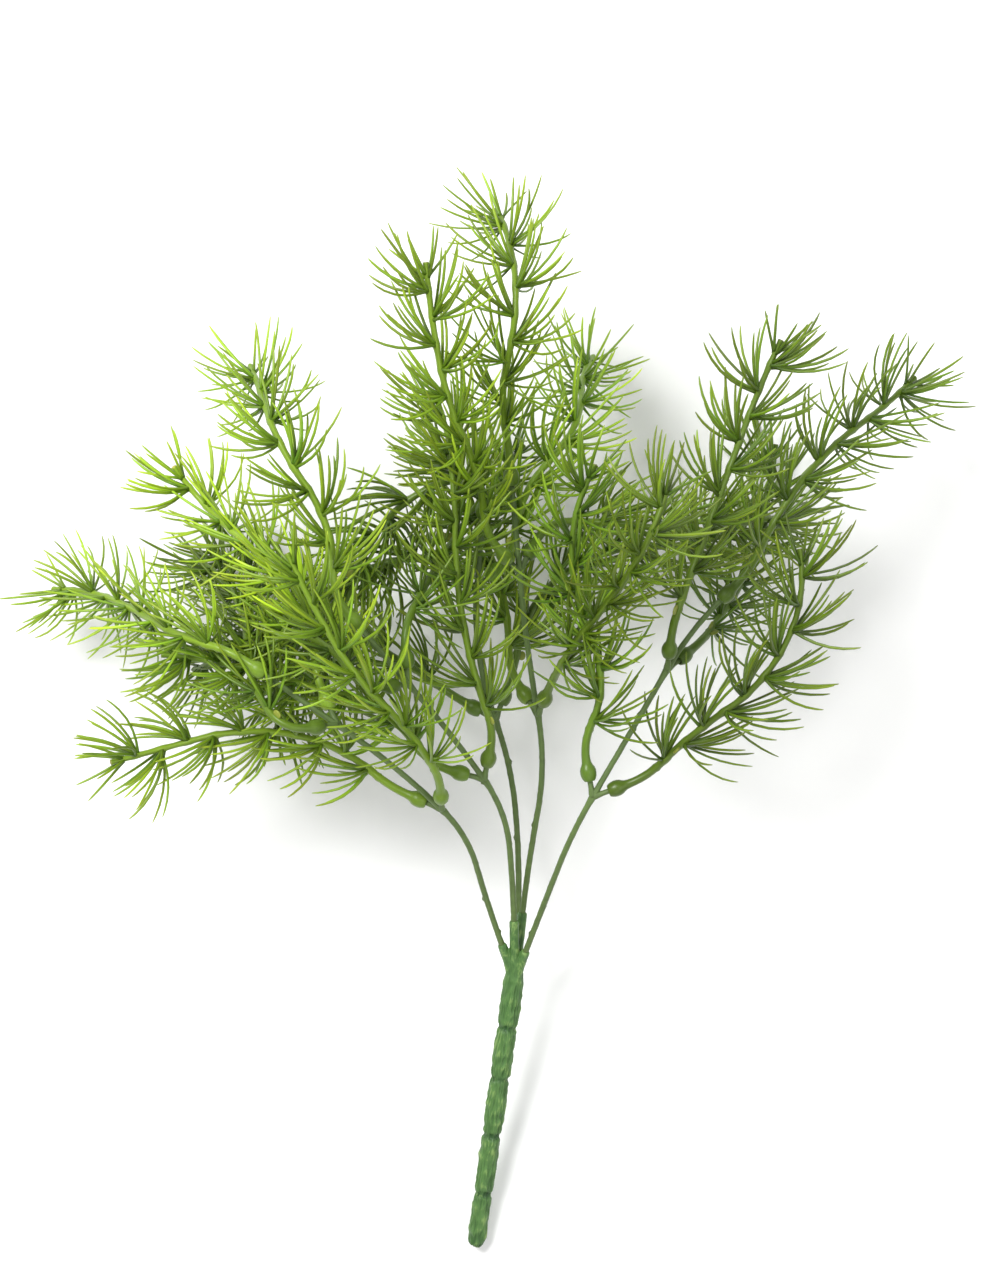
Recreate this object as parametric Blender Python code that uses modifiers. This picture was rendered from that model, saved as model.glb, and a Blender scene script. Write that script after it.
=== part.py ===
"""Artificial asparagus fern bunch, lying on a table.

A segmented plastic handle holds five plastic stems, each stiffened by a steel wire. Every stem has
two forks with a pair of pegs and one end pin, and a fern sprig is pushed on to each peg and pin.
Stems and sprigs leave the mould straight and are bent by hand. A route is therefore integrated from
headings (degrees right of +Y) and climbs (degrees above the table), so a piece keeps its length
however it is bent. +Z is up from the table, and the handle points along -Y.
"""

import math

import bmesh
import bpy
import numpy as np
from mathutils import Matrix, Vector

MM = 0.001

# Handle: bulges are listed from the free end up, waists lie between them.
BULGE_LENGTHS = (19 * MM, 21 * MM, 20 * MM, 18 * MM, 13 * MM)
BULGE_RADII = (3.1 * MM, 3.2 * MM, 3.3 * MM, 3.45 * MM, 3.5 * MM)
WAIST_RADII = (2.35 * MM, 2.5 * MM, 2.65 * MM, 2.7 * MM)
HANDLE_HEADING = 8.0
HANDLE_CLIMB = 13.0
HANDLE_SIDES = 14
CORE_BORE_RADIUS = 1.7 * MM
CORE_BORE_FLOOR = 9 * MM

# Sleeves on top of the handle, one for each stem.
SLEEVE_HEIGHTS = {1: 18 * MM, 2: 27 * MM, 3: 26 * MM, 4: 28 * MM, 5: 16 * MM}
SLEEVE_ROOT = 9 * MM
SLEEVE_WALL = 0.6 * MM
SEAT_DEPTH = 5.5 * MM
CHANNEL_ROOT = 3 * MM

# Wires, spread on a small ring inside the handle.
WIRE_RADIUS = 0.3 * MM
WIRE_RING_RADIUS = 0.75 * MM
WIRE_RING_ANGLES = {1: 170.0, 2: 98.0, 3: -118.0, 4: -46.0, 5: 26.0}
WIRE_FLOOR = 12 * MM
WIRE_END_MARGIN = 6 * MM

# Stems.
STEM_RADIUS = 1.12 * MM
STEM_TIP_RADIUS = 1.0 * MM
STEM_SIDES = 8
STEM_BORE_RADIUS = 0.7 * MM
SHANK_LENGTHS = {1: 80 * MM, 2: 84 * MM, 3: 91 * MM, 4: 98 * MM, 5: 84 * MM}
FORK_PITCH = 48 * MM
END_LENGTH = 28 * MM
FORK_BAND = 2.4 * MM
ROUTE_STEP = 6.5 * MM

# Pegs on the forks and the pin at each stem's end.
PEG_SPREAD = 40.0
PEG_STANDOFF = 5.4 * MM
PEG_ROOT_LENGTH = 3.0 * MM
PEG_RADIUS = 0.95 * MM
PIN_RADIUS = 0.8 * MM
BARB_RADIUS = 0.98 * MM
PIN_LENGTH = 4.4 * MM

# Sprigs.
SPRIG_LENGTH = 110 * MM
SPRIG_SIDES = 6
SOCKET_DEPTH = 5.0 * MM
SOCKET_MOUTH_RADIUS = 2.1 * MM
SOCKET_RADIUS = 2.7 * MM
NECK_RADIUS = 1.5 * MM
SPRIG_STEM_RADIUS = 1.35 * MM
SPRIG_TIP_RADIUS = 1.0 * MM
FIRST_FAN = 22 * MM
FAN_PITCH = 8.8 * MM
BARE_TIP = 8 * MM
FAN_BAND = 2.0 * MM
NEEDLE_LENGTH = 25 * MM
NEEDLE_SPLAYS = (50.0, 82.0)
NEEDLE_FAN_TILT = 48.0
NEEDLE_SHORTENINGS = (1.0, 0.8, 0.62, 0.46)

# Fits.
CLEARANCE = 0.3 * MM
ROD_GAP = 0.35 * MM

# How each stem is bent: headings and climbs at the sleeve, two thirds up the shank, the first fork,
# the second fork and the end.
STEM_BENDS = {
    1: ((-20, -15, -45, -55, -55), (30, 40, 30, 20, 0)),
    2: ((0, -5, -35, -40, -40), (30, 30, 30, 40, 25)),
    3: ((5, -5, -20, 5, 5), (5, 0, 0, 40, 30)),
    4: ((5, 10, -10, -5, -5), (20, 20, 15, 10, 5)),
    5: ((20, 20, 30, 30, 45), (35, 40, 10, 5, 0)),
}
SLEEVE_BEND = 12 * MM
SHANK_BEND_SHARE = 0.66
# How far each stem's two forks are turned about the stem.
FORK_TURNS = {1: (55, -35), 2: (15, -30), 3: (0, -20), 4: (55, -35), 5: (-5, -60)}

# How each sprig is bent past its straight socket: headings and climbs at the neck's end and at
# three points BEND_PITCH apart beyond it, so a shorter sprig is the same one cut sooner. Sprigs a
# and b are on the first fork, c and d on the second, and e is on the end pin.
SPRIG_BENDS = {
    "1a": ((-30, -45, -30, -25), (40, 35, 10, 0)),
    "1b": ((-50, -80, -105, -105), (-5, 15, 0, 25)),
    "1c": ((-40, -5, -30, -60), (-35, -50, -60, -30)),
    "1d": ((0, -50, -50, -35), (-20, -10, -60, 25)),
    "1e": ((-75, -60, -70, -90), (-25, -55, -60, -25)),
    "2a": ((-35, -75, -75, -85), (-5, 10, 5, 0)),
    "2b": ((-20, -10, 0, -10), (20, 0, 10, -10)),
    "2c": ((-35, -80, -125, -105), (-35, -50, -45, -60)),
    "2d": ((25, 30, 35, 40), (-55, -50, -35, -25)),
    "2e": ((0, -35, -20, -25), (-5, 25, -55, -55)),
    "3a": ((-55, -65, -55, -60), (-25, 15, -20, -10)),
    "3b": ((10, 55, 90, 70), (-5, 5, -10, -15)),
    "3c": ((-90, -130, -160, -175), (0, -25, -25, 10)),
    "3d": ((5, 45, 0, 35), (45, -5, -60, -60)),
    "3e": ((-100, -140, -165, -140), (30, -35, 0, -30)),
    "4a": ((0, -20, -20, -15), (-25, 5, -5, 10)),
    "4b": ((30, 40, 30, 15), (50, 45, 50, -30)),
    "4c": ((-5, -25, -10, -5), (30, 35, 20, 5)),
    "4d": ((90, 100, 70, 105), (0, 10, -45, -55)),
    "4e": ((-10, 15, -5, -25), (40, 50, -35, -45)),
    "5a": ((25, -25, 0, 30), (30, 5, 25, 10)),
    "5b": ((45, 55, 25, -10), (25, 20, 10, 0)),
    "5c": ((20, 20, 20, 25), (0, 5, 5, 10)),
    "5d": ((40, 35, 15, 5), (-60, -60, -15, 5)),
    "5e": ((25, 40, 55, 45), (10, -20, -40, -30)),
}
# How far some sprigs are turned in their sockets; the first fan of the others is on the right.
SPRIG_ROLLS = {"1b": 180, "5b": 180, "5c": 180, "5e": 180}
STRAIGHT_SOCKET = 6 * MM
NECK_END = 20 * MM
BEND_PITCH = 30 * MM

HANDLE_COLOUR = (0.105, 0.325, 0.100)
STEM_COLOUR = (0.110, 0.210, 0.085)
WIRE_COLOUR = (0.45, 0.45, 0.44)
SPRIG_COLOUR = (0.190, 0.395, 0.025)

HANDLE_LENGTH = sum(BULGE_LENGTHS)
FAN_COUNT = 1 + int((SPRIG_LENGTH - FIRST_FAN - BARE_TIP) / FAN_PITCH)
SEAT_RADIUS = STEM_RADIUS + CLEARANCE
SLEEVE_RADIUS = SEAT_RADIUS + SLEEVE_WALL
CHANNEL_RADIUS = WIRE_RADIUS + 1.4 * CLEARANCE
# A square barb's corners clear the flats of the socket's bore.
SOCKET_BORE_RADIUS = (BARB_RADIUS + CLEARANCE) / math.cos(math.pi / SPRIG_SIDES)


def direction(heading, climb):
    """Unit vectors for headings and climbs in degrees."""
    heading, climb = np.radians(heading), np.radians(climb)
    level = np.cos(climb)
    return np.stack([np.sin(heading) * level, np.cos(heading) * level, np.sin(climb)], axis=-1)


def heading_and_climb(vector):
    """The heading and climb in degrees of a unit vector."""
    return math.degrees(math.atan2(vector[0], vector[1])), math.degrees(math.asin(vector[2]))


def side_axes(tangent):
    """The level axis to the right of a direction, and the axis over it."""
    right = np.cross(tangent, (0.0, 0.0, 1.0))
    right /= np.linalg.norm(right)
    return right, np.cross(right, tangent)


class Route:
    """A bent rod's centreline, found from its length by interpolation."""

    STEPS_PER_M = 1000

    def __init__(self, start, marks, headings, climbs):
        """Integrates from start; marks are the lengths at which headings and climbs are given."""
        count = int(round((marks[-1] - marks[0]) * self.STEPS_PER_M)) + 1
        self.along = np.linspace(marks[0], marks[-1], count)
        self.tangents = direction(
            np.interp(self.along, marks, headings), np.interp(self.along, marks, climbs)
        )
        step = self.along[1] - self.along[0]
        middles = (self.tangents[:-1] + self.tangents[1:]) * 0.5 * step
        self.points = np.vstack([np.zeros(3), np.cumsum(middles, axis=0)]) + start
        self.roll = 0.0

    def at(self, along):
        """Point and unit tangent at a length, straight on beyond either end."""
        inside = min(max(along, self.along[0]), self.along[-1])
        point = np.array([np.interp(inside, self.along, axis) for axis in self.points.T])
        tangent = np.array([np.interp(inside, self.along, axis) for axis in self.tangents.T])
        tangent /= np.linalg.norm(tangent)
        return point + tangent * (along - inside), tangent

    def axes(self, tangent):
        """The axes to the right of a tangent and over it, turned by the piece's roll."""
        right, over = side_axes(tangent)
        turn = math.radians(self.roll)
        turned = right * math.cos(turn) + over * math.sin(turn)
        return turned, np.cross(turned, tangent)

    def ring(self, along, radius, sides):
        """Points of a ring about the route, the flats facing right, left, up and down."""
        centre, tangent = self.at(along)
        right, over = self.axes(tangent)
        angles = (np.arange(sides) - 0.5) * 2 * math.pi / sides
        return centre + radius * (np.outer(np.cos(angles), right) + np.outer(np.sin(angles), over))


def handle_axis():
    """Centre of the handle's free end, and the handle's direction."""
    axis = direction(HANDLE_HEADING, HANDLE_CLIMB)
    rest_height = BULGE_RADII[0] / math.cos(math.radians(HANDLE_CLIMB))
    return np.array([0.0, 0.0, rest_height]), axis


def stem_route(number):
    """Route of a stem's wire from inside the handle; zero length is the handle's top."""
    tip, axis = handle_axis()
    right, over = side_axes(axis)
    angle = math.radians(WIRE_RING_ANGLES[number])
    ring_offset = WIRE_RING_RADIUS * (right * math.cos(angle) + over * math.sin(angle))
    shank = SHANK_LENGTHS[number]
    buried = HANDLE_LENGTH - WIRE_FLOOR
    marks = [-buried, 0, SLEEVE_BEND, shank * SHANK_BEND_SHARE, shank]
    marks += [shank + FORK_PITCH, shank + FORK_PITCH + END_LENGTH]
    headings, climbs = STEM_BENDS[number]
    return Route(
        tip + axis * WIRE_FLOOR + ring_offset,
        marks,
        (HANDLE_HEADING, HANDLE_HEADING) + headings,
        (HANDLE_CLIMB, HANDLE_CLIMB) + climbs,
    )


def stem_length(number):
    """Length of a stem's route above the handle's top."""
    return SHANK_LENGTHS[number] + FORK_PITCH + END_LENGTH


def pegs(number):
    """The pegs of one stem as (sprig letter, length on the route, direction)."""
    route = stem_route(number)
    found = []
    for letters, place, turn in zip(("ab", "cd"), (0, FORK_PITCH), FORK_TURNS[number]):
        along = SHANK_LENGTHS[number] + place
        tangent = route.at(along)[1]
        right, over = side_axes(tangent)
        out = right * math.cos(math.radians(turn)) + over * math.sin(math.radians(turn))
        for letter, side in zip(letters, peg_sides(number, letters)):
            spread = math.radians(PEG_SPREAD)
            found.append((letter, along, tangent * math.cos(spread) + out * side * math.sin(spread)))
    return found


def peg_sides(number, letters):
    """Which side of the fork each letter's peg is on: 1 is right and -1 is left."""
    if number == 1 and letters == "ab":
        return 1, -1
    return -1, 1


def sprig_route(start, socket_direction, name):
    """Route of a sprig: straight in its socket, then bent as its table says."""
    headings, climbs = SPRIG_BENDS[name]
    socket_heading, socket_climb = heading_and_climb(socket_direction)
    socket_heading = headings[0] + (socket_heading - headings[0] + 180) % 360 - 180
    marks = [0, STRAIGHT_SOCKET] + [NECK_END + index * BEND_PITCH for index in range(4)]
    route = Route(
        start,
        marks,
        (socket_heading, socket_heading) + headings,
        (socket_climb, socket_climb) + climbs,
    )
    route.roll = SPRIG_ROLLS.get(name, 0)
    return route


def all_sprig_routes():
    """Every sprig's name and route, in order."""
    routes = {}
    for number in STEM_BENDS:
        stem = stem_route(number)
        for letter, along, out in pegs(number):
            start = stem.at(along)[0] + out * PEG_STANDOFF
            routes[f"{number}{letter}"] = sprig_route(start, out, f"{number}{letter}")
        end, tangent = stem.at(stem_length(number) + CLEARANCE)
        routes[f"{number}e"] = sprig_route(end, tangent, f"{number}e")
    return dict(sorted(routes.items()))


class Room:
    """Tapered rods already placed, to find where another still fits."""

    def __init__(self):
        self.rows = []
        self.owners = []
        self.table = None

    def add(self, owner, start, end, start_radius, end_radius):
        """Records a rod."""
        self.rows.append((*start, *end, start_radius, end_radius))
        self.owners.append(owner)
        self.table = None

    def gap(self, owner, start, end, start_radius, end_radius):
        """Smallest gap from a rod to all rods of other owners."""
        if self.table is None:
            self.table = np.array(self.rows), np.array(self.owners)
        rows = self.table[0][self.table[1] != owner]
        along = end - start
        others = rows[:, 3:6] - rows[:, 0:3]
        apart = start - rows[:, 0:3]
        a, b, c = along @ along, others @ along, np.einsum("ij,ij->i", others, others)
        d, e = apart @ along, np.einsum("ij,ij->i", others, apart)
        slope = np.maximum(a * c - b * b, 1e-18)
        s = np.clip((b * e - c * d) / slope, 0, 1)
        t = np.clip((b * s + e) / c, 0, 1)
        s = np.clip((b * t - d) / a, 0, 1)
        near = start + s[:, None] * along - rows[:, 0:3] - t[:, None] * others
        radii = start_radius + s * (end_radius - start_radius)
        other_radii = rows[:, 6] + t * (rows[:, 7] - rows[:, 6])
        return (np.linalg.norm(near, axis=1) - radii - other_radii).min()


def sprig_profile():
    """(length, radius) stations of a sprig, and the index of each fan's lower station."""
    stations = [
        (0, SOCKET_MOUTH_RADIUS),
        (2.5 * MM, SOCKET_RADIUS),
        (5.4 * MM, SOCKET_RADIUS * 0.94),
        (7.6 * MM, NECK_RADIUS * 1.12),
        (NECK_END - 4 * MM, NECK_RADIUS),
    ]
    fans = []
    for index in range(FAN_COUNT):
        along = FIRST_FAN + index * FAN_PITCH - FAN_BAND / 2
        share = index / (FAN_COUNT - 1)
        radius = SPRIG_STEM_RADIUS + share * (SPRIG_TIP_RADIUS - SPRIG_STEM_RADIUS)
        fans.append(len(stations))
        stations += [(along, radius), (along + FAN_BAND, radius)]
    stations.append((SPRIG_LENGTH, SPRIG_TIP_RADIUS * 0.9))
    return stations, fans


class Sweep:
    """A closed tube grown ring by ring along a route by extruding its end face."""

    def __init__(self, first_ring):
        self.bm = bmesh.new()
        sides = len(first_ring)
        circle = bmesh.ops.create_circle(self.bm, cap_ends=True, segments=sides, radius=1)
        for vert, place in zip(circle["verts"], first_ring):
            vert.co = place
        self.bands = []
        self.start_ring = first_ring
        self.end_ring = first_ring
        self.end = next(iter(self.bm.faces))

    def extend(self, ring):
        """Extrudes the end face to a new ring and notes the band's side faces in ring order."""
        self.end, band = extruded(self.bm, self.end, self.end_ring, ring)
        self.end_ring = ring
        self.bands.append(band)

    def bore(self, rings):
        """Sinks the first face inwards through the given rings, as a blind hole."""
        face = next(
            face
            for face in self.bm.faces
            if len(face.verts) == len(self.start_ring)
            and (face.calc_center_median() - Vector(self.start_ring.mean(axis=0))).length < 1e-7
        )
        before = self.start_ring
        for ring in rings:
            face, _ = extruded(self.bm, face, before, ring)
            before = ring

    def finished(self, name):
        """The tube as a mesh."""
        bmesh.ops.recalc_face_normals(self.bm, faces=self.bm.faces)
        if self.bm.calc_volume(signed=True) < 0:
            bmesh.ops.reverse_faces(self.bm, faces=self.bm.faces)
        mesh = bpy.data.meshes.new(name)
        self.bm.to_mesh(mesh)
        self.bm.free()
        return mesh


def extruded(bm, face, ring_before, ring_after):
    """Extrudes a face whose corners are ring_before to ring_after; gives the face and its sides."""
    made = bmesh.ops.extrude_face_region(bm, geom=[face, *face.edges])["geom"]
    cap = next(item for item in made if isinstance(item, bmesh.types.BMFace))
    order = {}
    for vert in cap.verts:
        distances = np.linalg.norm(ring_before - np.array(vert.co), axis=1)
        order[vert] = int(distances.argmin())
    for vert, index in order.items():
        vert.co = ring_after[index]
    band = [None] * len(ring_after)
    for edge in cap.edges:
        ends = sorted(order[vert] for vert in edge.verts)
        index = ends[0] if ends[1] - ends[0] == 1 else ends[1]
        band[index] = next(other for other in edge.link_faces if other is not cap)
    return cap, band


def rested(point):
    """A needle tip that would pass through the table, lifted to lie on it."""
    return np.array([point[0], point[1], max(point[2], 0.0)])


def needle_tip(room, owner, root, outward, root_radius):
    """Where a needle from root can reach without touching another piece, or None."""
    for share in NEEDLE_SHORTENINGS:
        tip = rested(root + outward * NEEDLE_LENGTH * share)
        if room.gap(owner, root, tip, root_radius, 0.0) > ROD_GAP:
            return tip
    return None


def grow_fan(sweep, room, name, route, band, along, side):
    """Draws the needles of one fan out of three side faces of a band, two from each face."""
    tangent = route.at(along)[1]
    right, over = route.axes(tangent)
    middle = 0 if side > 0 else SPRIG_SIDES // 2
    for step in (-1, 0, 1):
        face = sweep.bands[band][(middle + step) % SPRIG_SIDES]
        tilt = math.radians(step * NEEDLE_FAN_TILT) * side
        outward = right * side * math.cos(tilt) + over * math.sin(tilt)
        halves = bmesh.ops.triangulate(sweep.bm, faces=[face])["faces"]
        halves.sort(key=lambda half: np.array(half.calc_center_median()) @ tangent, reverse=True)
        for half, splay in zip(halves, NEEDLE_SPLAYS):
            root = np.array(half.calc_center_median())
            splay = math.radians(splay)
            aim = tangent * math.cos(splay) + outward * math.sin(splay)
            tip = needle_tip(room, name, root, aim, FAN_BAND * 0.4)
            if tip is None:
                continue
            room.add(name, root, tip, FAN_BAND * 0.4, 0.0)
            bmesh.ops.poke(sweep.bm, faces=[half])["verts"][0].co = tip


def make_sprig(room, name, route):
    """Builds a sprig's mesh: socket, neck, stem with fans of needles, and cut tip."""
    stations, fans = sprig_profile()
    rings = [route.ring(along, radius, SPRIG_SIDES) for along, radius in stations]
    sweep = Sweep(rings[0])
    for ring in rings[1:]:
        sweep.extend(ring)
    sweep.bore(
        [
            route.ring(0, SOCKET_BORE_RADIUS, SPRIG_SIDES),
            route.ring(SOCKET_DEPTH, SOCKET_BORE_RADIUS, SPRIG_SIDES),
        ]
    )
    for index, band in enumerate(fans):
        side = 1 if index % 2 == 0 else -1
        grow_fan(sweep, room, name, route, band, stations[band][0], side)
    return sweep.finished(f"sprig_{name}")


def stem_stations(number, root):
    """Lengths at which a stem has a ring, with the radius, and each fork band's index."""
    shank, total = SHANK_LENGTHS[number], stem_length(number)
    forks = (shank, shank + FORK_PITCH)
    grid = np.arange(math.ceil(root / ROUTE_STEP) + 1, int(total / ROUTE_STEP)) * ROUTE_STEP
    plain = [along for along in grid if all(abs(along - fork) > FORK_BAND for fork in forks)]
    lengths = {root, total} | set(plain)
    lengths |= {fork + half for fork in forks for half in (-FORK_BAND / 2, FORK_BAND / 2)}
    lengths = sorted(lengths)
    taper = (STEM_TIP_RADIUS - STEM_RADIUS) / (total - root)
    stations = [(along, STEM_RADIUS + taper * (along - root)) for along in lengths]
    bands = {fork: lengths.index(fork - FORK_BAND / 2) for fork in forks}
    return stations, bands


def pin_stations(reach):
    """(distance, radius) of a pin's square sections from its shoulder: neck, barb and tip."""
    return [
        (reach, PIN_RADIUS),
        (reach + PIN_LENGTH * 0.5, PIN_RADIUS),
        (reach + PIN_LENGTH * 0.62, BARB_RADIUS),
        (reach + PIN_LENGTH, PIN_RADIUS * 0.7),
    ]


def square(centre, forward, out, radius):
    """Corners of a square section about a peg, keyed by the signs of its two axes."""
    along = forward - out * (forward @ out)
    along /= np.linalg.norm(along)
    across = np.cross(out, along)
    return {
        (i, j): centre + radius * math.sqrt(0.5) * (i * along + j * across)
        for i in (-1, 1)
        for j in (-1, 1)
    }


def grow_peg(sweep, band, fork_point, tangent, out):
    """Extrudes a peg from the band face that faces its direction."""
    face = max(
        (side for side in sweep.bands[band] if side.is_valid),
        key=lambda side: (np.array(side.calc_center_median()) - fork_point) @ out,
    )
    corners = {}
    across = np.cross(out, tangent)
    for vert in face.verts:
        offset = np.array(vert.co) - np.array(face.calc_center_median())
        corners[vert.index] = (1 if offset @ tangent > 0 else -1, 1 if offset @ across > 0 else -1)
    before = [(np.array(vert.co), corners[vert.index]) for vert in face.verts]
    sections = [(PEG_ROOT_LENGTH, PEG_RADIUS), (PEG_STANDOFF - CLEARANCE, PEG_RADIUS)]
    sections += pin_stations(PEG_STANDOFF)
    for distance, radius in sections:
        made = square(fork_point + out * distance, tangent, out, radius)
        ring_before = np.array([place for place, _ in before])
        ring_after = np.array([made[key] for _, key in before])
        face, _ = extruded(sweep.bm, face, ring_before, ring_after)
        before = [(place, key) for place, (_, key) in zip(ring_after, before)]


def make_stem(number):
    """Builds a stem's mesh: tube with a blind wire bore, two pegs on each fork, and the end pin."""
    route = stem_route(number)
    root = SLEEVE_HEIGHTS[number] - SEAT_DEPTH
    stations, fork_bands = stem_stations(number, root)
    sweep = Sweep(route.ring(*stations[0], STEM_SIDES))
    for along, radius in stations[1:]:
        sweep.extend(route.ring(along, radius, STEM_SIDES))
    for distance, radius in pin_stations(CLEARANCE):
        sweep.extend(route.ring(stem_length(number) + distance, radius, STEM_SIDES))
    bore_end = SHANK_LENGTHS[number] - WIRE_END_MARGIN + 2 * CLEARANCE
    depths = [along for along, _ in stations if along < bore_end - MM] + [bore_end]
    sweep.bore([route.ring(along, STEM_BORE_RADIUS, STEM_SIDES) for along in depths])
    sweep.bm.verts.index_update()
    for _, along, out in pegs(number):
        point, tangent = route.at(along)
        grow_peg(sweep, fork_bands[along], point, tangent, out)
    return sweep.finished(f"stem_{number}")


def wire_lengths(number):
    """Lengths at which a wire has a point, from inside the handle to short of the first fork."""
    first = -(HANDLE_LENGTH - WIRE_FLOOR)
    last = SHANK_LENGTHS[number] - WIRE_END_MARGIN
    grid = list(np.arange(math.ceil(first / ROUTE_STEP), int(last / ROUTE_STEP) + 1) * ROUTE_STEP)
    grid.append(SLEEVE_HEIGHTS[number] - SEAT_DEPTH)
    return [first] + sorted(along for along in grid if first + MM < along < last - MM) + [last]


def curve_tube(name, points, radius, sides_step=1):
    """A tube as a curve object along given points, with filled caps."""
    curve = bpy.data.curves.new(name, "CURVE")
    curve.dimensions = "3D"
    curve.bevel_depth = radius
    curve.bevel_resolution = sides_step
    curve.use_fill_caps = True
    spline = curve.splines.new("POLY")
    spline.points.add(len(points) - 1)
    for point, place in zip(spline.points, points):
        point.co = (*place, 1.0)
    return bpy.data.objects.new(name, curve)


def plastic(name, colour, roughness, metallic=0.0):
    """A Principled material."""
    material = bpy.data.materials.new(name)
    material.use_nodes = True
    shader = material.node_tree.nodes["Principled BSDF"]
    shader.inputs["Base Color"].default_value = (*colour, 1.0)
    shader.inputs["Roughness"].default_value = roughness
    shader.inputs["Metallic"].default_value = metallic
    return material


def tube_mesh(name, route, stations, sides):
    """A closed tube along a route from (length, radius) stations."""
    sweep = Sweep(route.ring(*stations[0], sides))
    for along, radius in stations[1:]:
        sweep.extend(route.ring(along, radius, sides))
    return sweep.finished(name)


def handle_profile():
    """(radius, height) points of the handle's outline from its top axis down to its tip."""
    outline = [(0.0, 0.0), (BULGE_RADII[0] * 0.55, 0.2 * MM), (BULGE_RADII[0] * 0.86, 1.7 * MM)]
    base = 0.0
    for index, (length, belly) in enumerate(zip(BULGE_LENGTHS, BULGE_RADII)):
        outline += [(belly, base + length * 0.35), (belly * 0.98, base + length * 0.7)]
        base += length
        if index < len(WAIST_RADII):
            waist = WAIST_RADII[index]
            outline += [
                (belly * 0.95, base - 1.4 * MM),
                (waist, base - 0.4 * MM),
                (waist, base + 0.3 * MM),
                (BULGE_RADII[index + 1] * 0.93, base + 1.6 * MM),
            ]
    outline += [(BULGE_RADII[-1] * 0.9, base), (0.0, base)]
    return outline[::-1]


def make_handle_body():
    """The handle's turned body as a screw object about its own axis."""
    mesh = bpy.data.meshes.new("handle")
    points = [(radius, 0.0, height) for radius, height in handle_profile()]
    mesh.from_pydata(points, [(i, i + 1) for i in range(len(points) - 1)], [])
    body = bpy.data.objects.new("handle", mesh)
    screw = body.modifiers.new("turn", "SCREW")
    screw.steps = screw.render_steps = HANDLE_SIDES
    screw.use_merge_vertices = True
    screw.merge_threshold = 0.05 * MM
    screw.use_smooth_shade = True
    tip, axis = handle_axis()
    # The lowest bulge rests on the table, so the tip's centre is a bulge radius up.
    turn = Vector(axis).to_track_quat("Z", "Y").to_matrix().to_4x4()
    body.matrix_world = Matrix.Translation(Vector(tip)) @ turn
    return body


def add_boolean(target, cutter, operation):
    """Adds an exact Boolean to target."""
    modifier = target.modifiers.new(cutter.name, "BOOLEAN")
    modifier.operation = operation
    modifier.solver = "EXACT"
    modifier.object = cutter


def handle_tools():
    """The solids that are joined to the handle's body and cut from it, as (mesh, operation)."""
    tools = []
    for number, height in SLEEVE_HEIGHTS.items():
        route = stem_route(number)
        stops = np.linspace(-SLEEVE_ROOT, height, 6)
        stations = [(along, SLEEVE_RADIUS) for along in stops[:-1]]
        stations += [(height - 0.8 * MM, SLEEVE_RADIUS), (height, SLEEVE_RADIUS - 0.3 * MM)]
        tools.append((tube_mesh(f"sleeve_{number}", route, stations, 10), "UNION"))
    tip, axis = handle_axis()
    core = Route(
        tip + axis * CORE_BORE_FLOOR,
        [0, HANDLE_LENGTH - CORE_BORE_FLOOR - MM],
        (HANDLE_HEADING, HANDLE_HEADING),
        (HANDLE_CLIMB, HANDLE_CLIMB),
    )
    ends = [(0, CORE_BORE_RADIUS), (core.along[-1], CORE_BORE_RADIUS)]
    tools.append((tube_mesh("core_bore", core, ends, 10), "DIFFERENCE"))
    for number, height in SLEEVE_HEIGHTS.items():
        route = stem_route(number)
        seat = height - SEAT_DEPTH - CLEARANCE
        grid = [along for along in wire_lengths(number) if 0 <= along < seat - MM]
        bore = [(along, CHANNEL_RADIUS) for along in [-CHANNEL_ROOT] + grid + [seat]]
        stops = np.linspace(seat, height + 2 * MM, 4)
        bore += [(along, SEAT_RADIUS) for along in stops]
        tools.append((tube_mesh(f"seat_{number}", route, bore, 12), "DIFFERENCE"))
    return tools


def clear_scene():
    """Removes every object."""
    for obj in list(bpy.data.objects):
        bpy.data.objects.remove(obj, do_unlink=True)


def add_part(collection, name, data, material):
    """Adds one named object with its material."""
    obj = data if isinstance(data, bpy.types.Object) else bpy.data.objects.new(name, data)
    obj.data.materials.append(material)
    collection.objects.link(obj)
    return obj


def fill_room(room, sprigs):
    """Records every rod that the needles have to miss."""
    stations, _ = sprig_profile()
    for name, route in sprigs.items():
        for (low, low_radius), (high, high_radius) in zip(stations, stations[1:]):
            room.add(name, route.at(low)[0], route.at(high)[0], low_radius, high_radius)
    for number in STEM_BENDS:
        route = stem_route(number)
        lengths = np.arange(0, stem_length(number), ROUTE_STEP)
        for low, high in zip(lengths, lengths[1:]):
            room.add(f"stem_{number}", route.at(low)[0], route.at(high)[0], STEM_RADIUS, STEM_RADIUS)


def lay_on_origin(parts, cutters):
    """Moves everything so that the parts' box stands on the origin by its bottom's centre."""
    bpy.context.view_layer.update()
    graph = bpy.context.evaluated_depsgraph_get()
    corners = []
    for part in parts:
        evaluated = part.evaluated_get(graph)
        mesh = evaluated.to_mesh()
        places = np.empty(len(mesh.vertices) * 3)
        mesh.vertices.foreach_get("co", places)
        world = np.array(part.matrix_world)
        places = places.reshape(-1, 3) @ world[:3, :3].T + world[:3, 3]
        corners += [places.min(axis=0), places.max(axis=0)]
        evaluated.to_mesh_clear()
    low, high = np.min(corners, axis=0), np.max(corners, axis=0)
    base = bpy.data.objects.new("bunch_base", None)
    bpy.context.scene.collection.objects.link(base)
    for obj in parts + cutters:
        obj.parent = base
    base.location = (-(low[0] + high[0]) / 2, -(low[1] + high[1]) / 2, -low[2])


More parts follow.
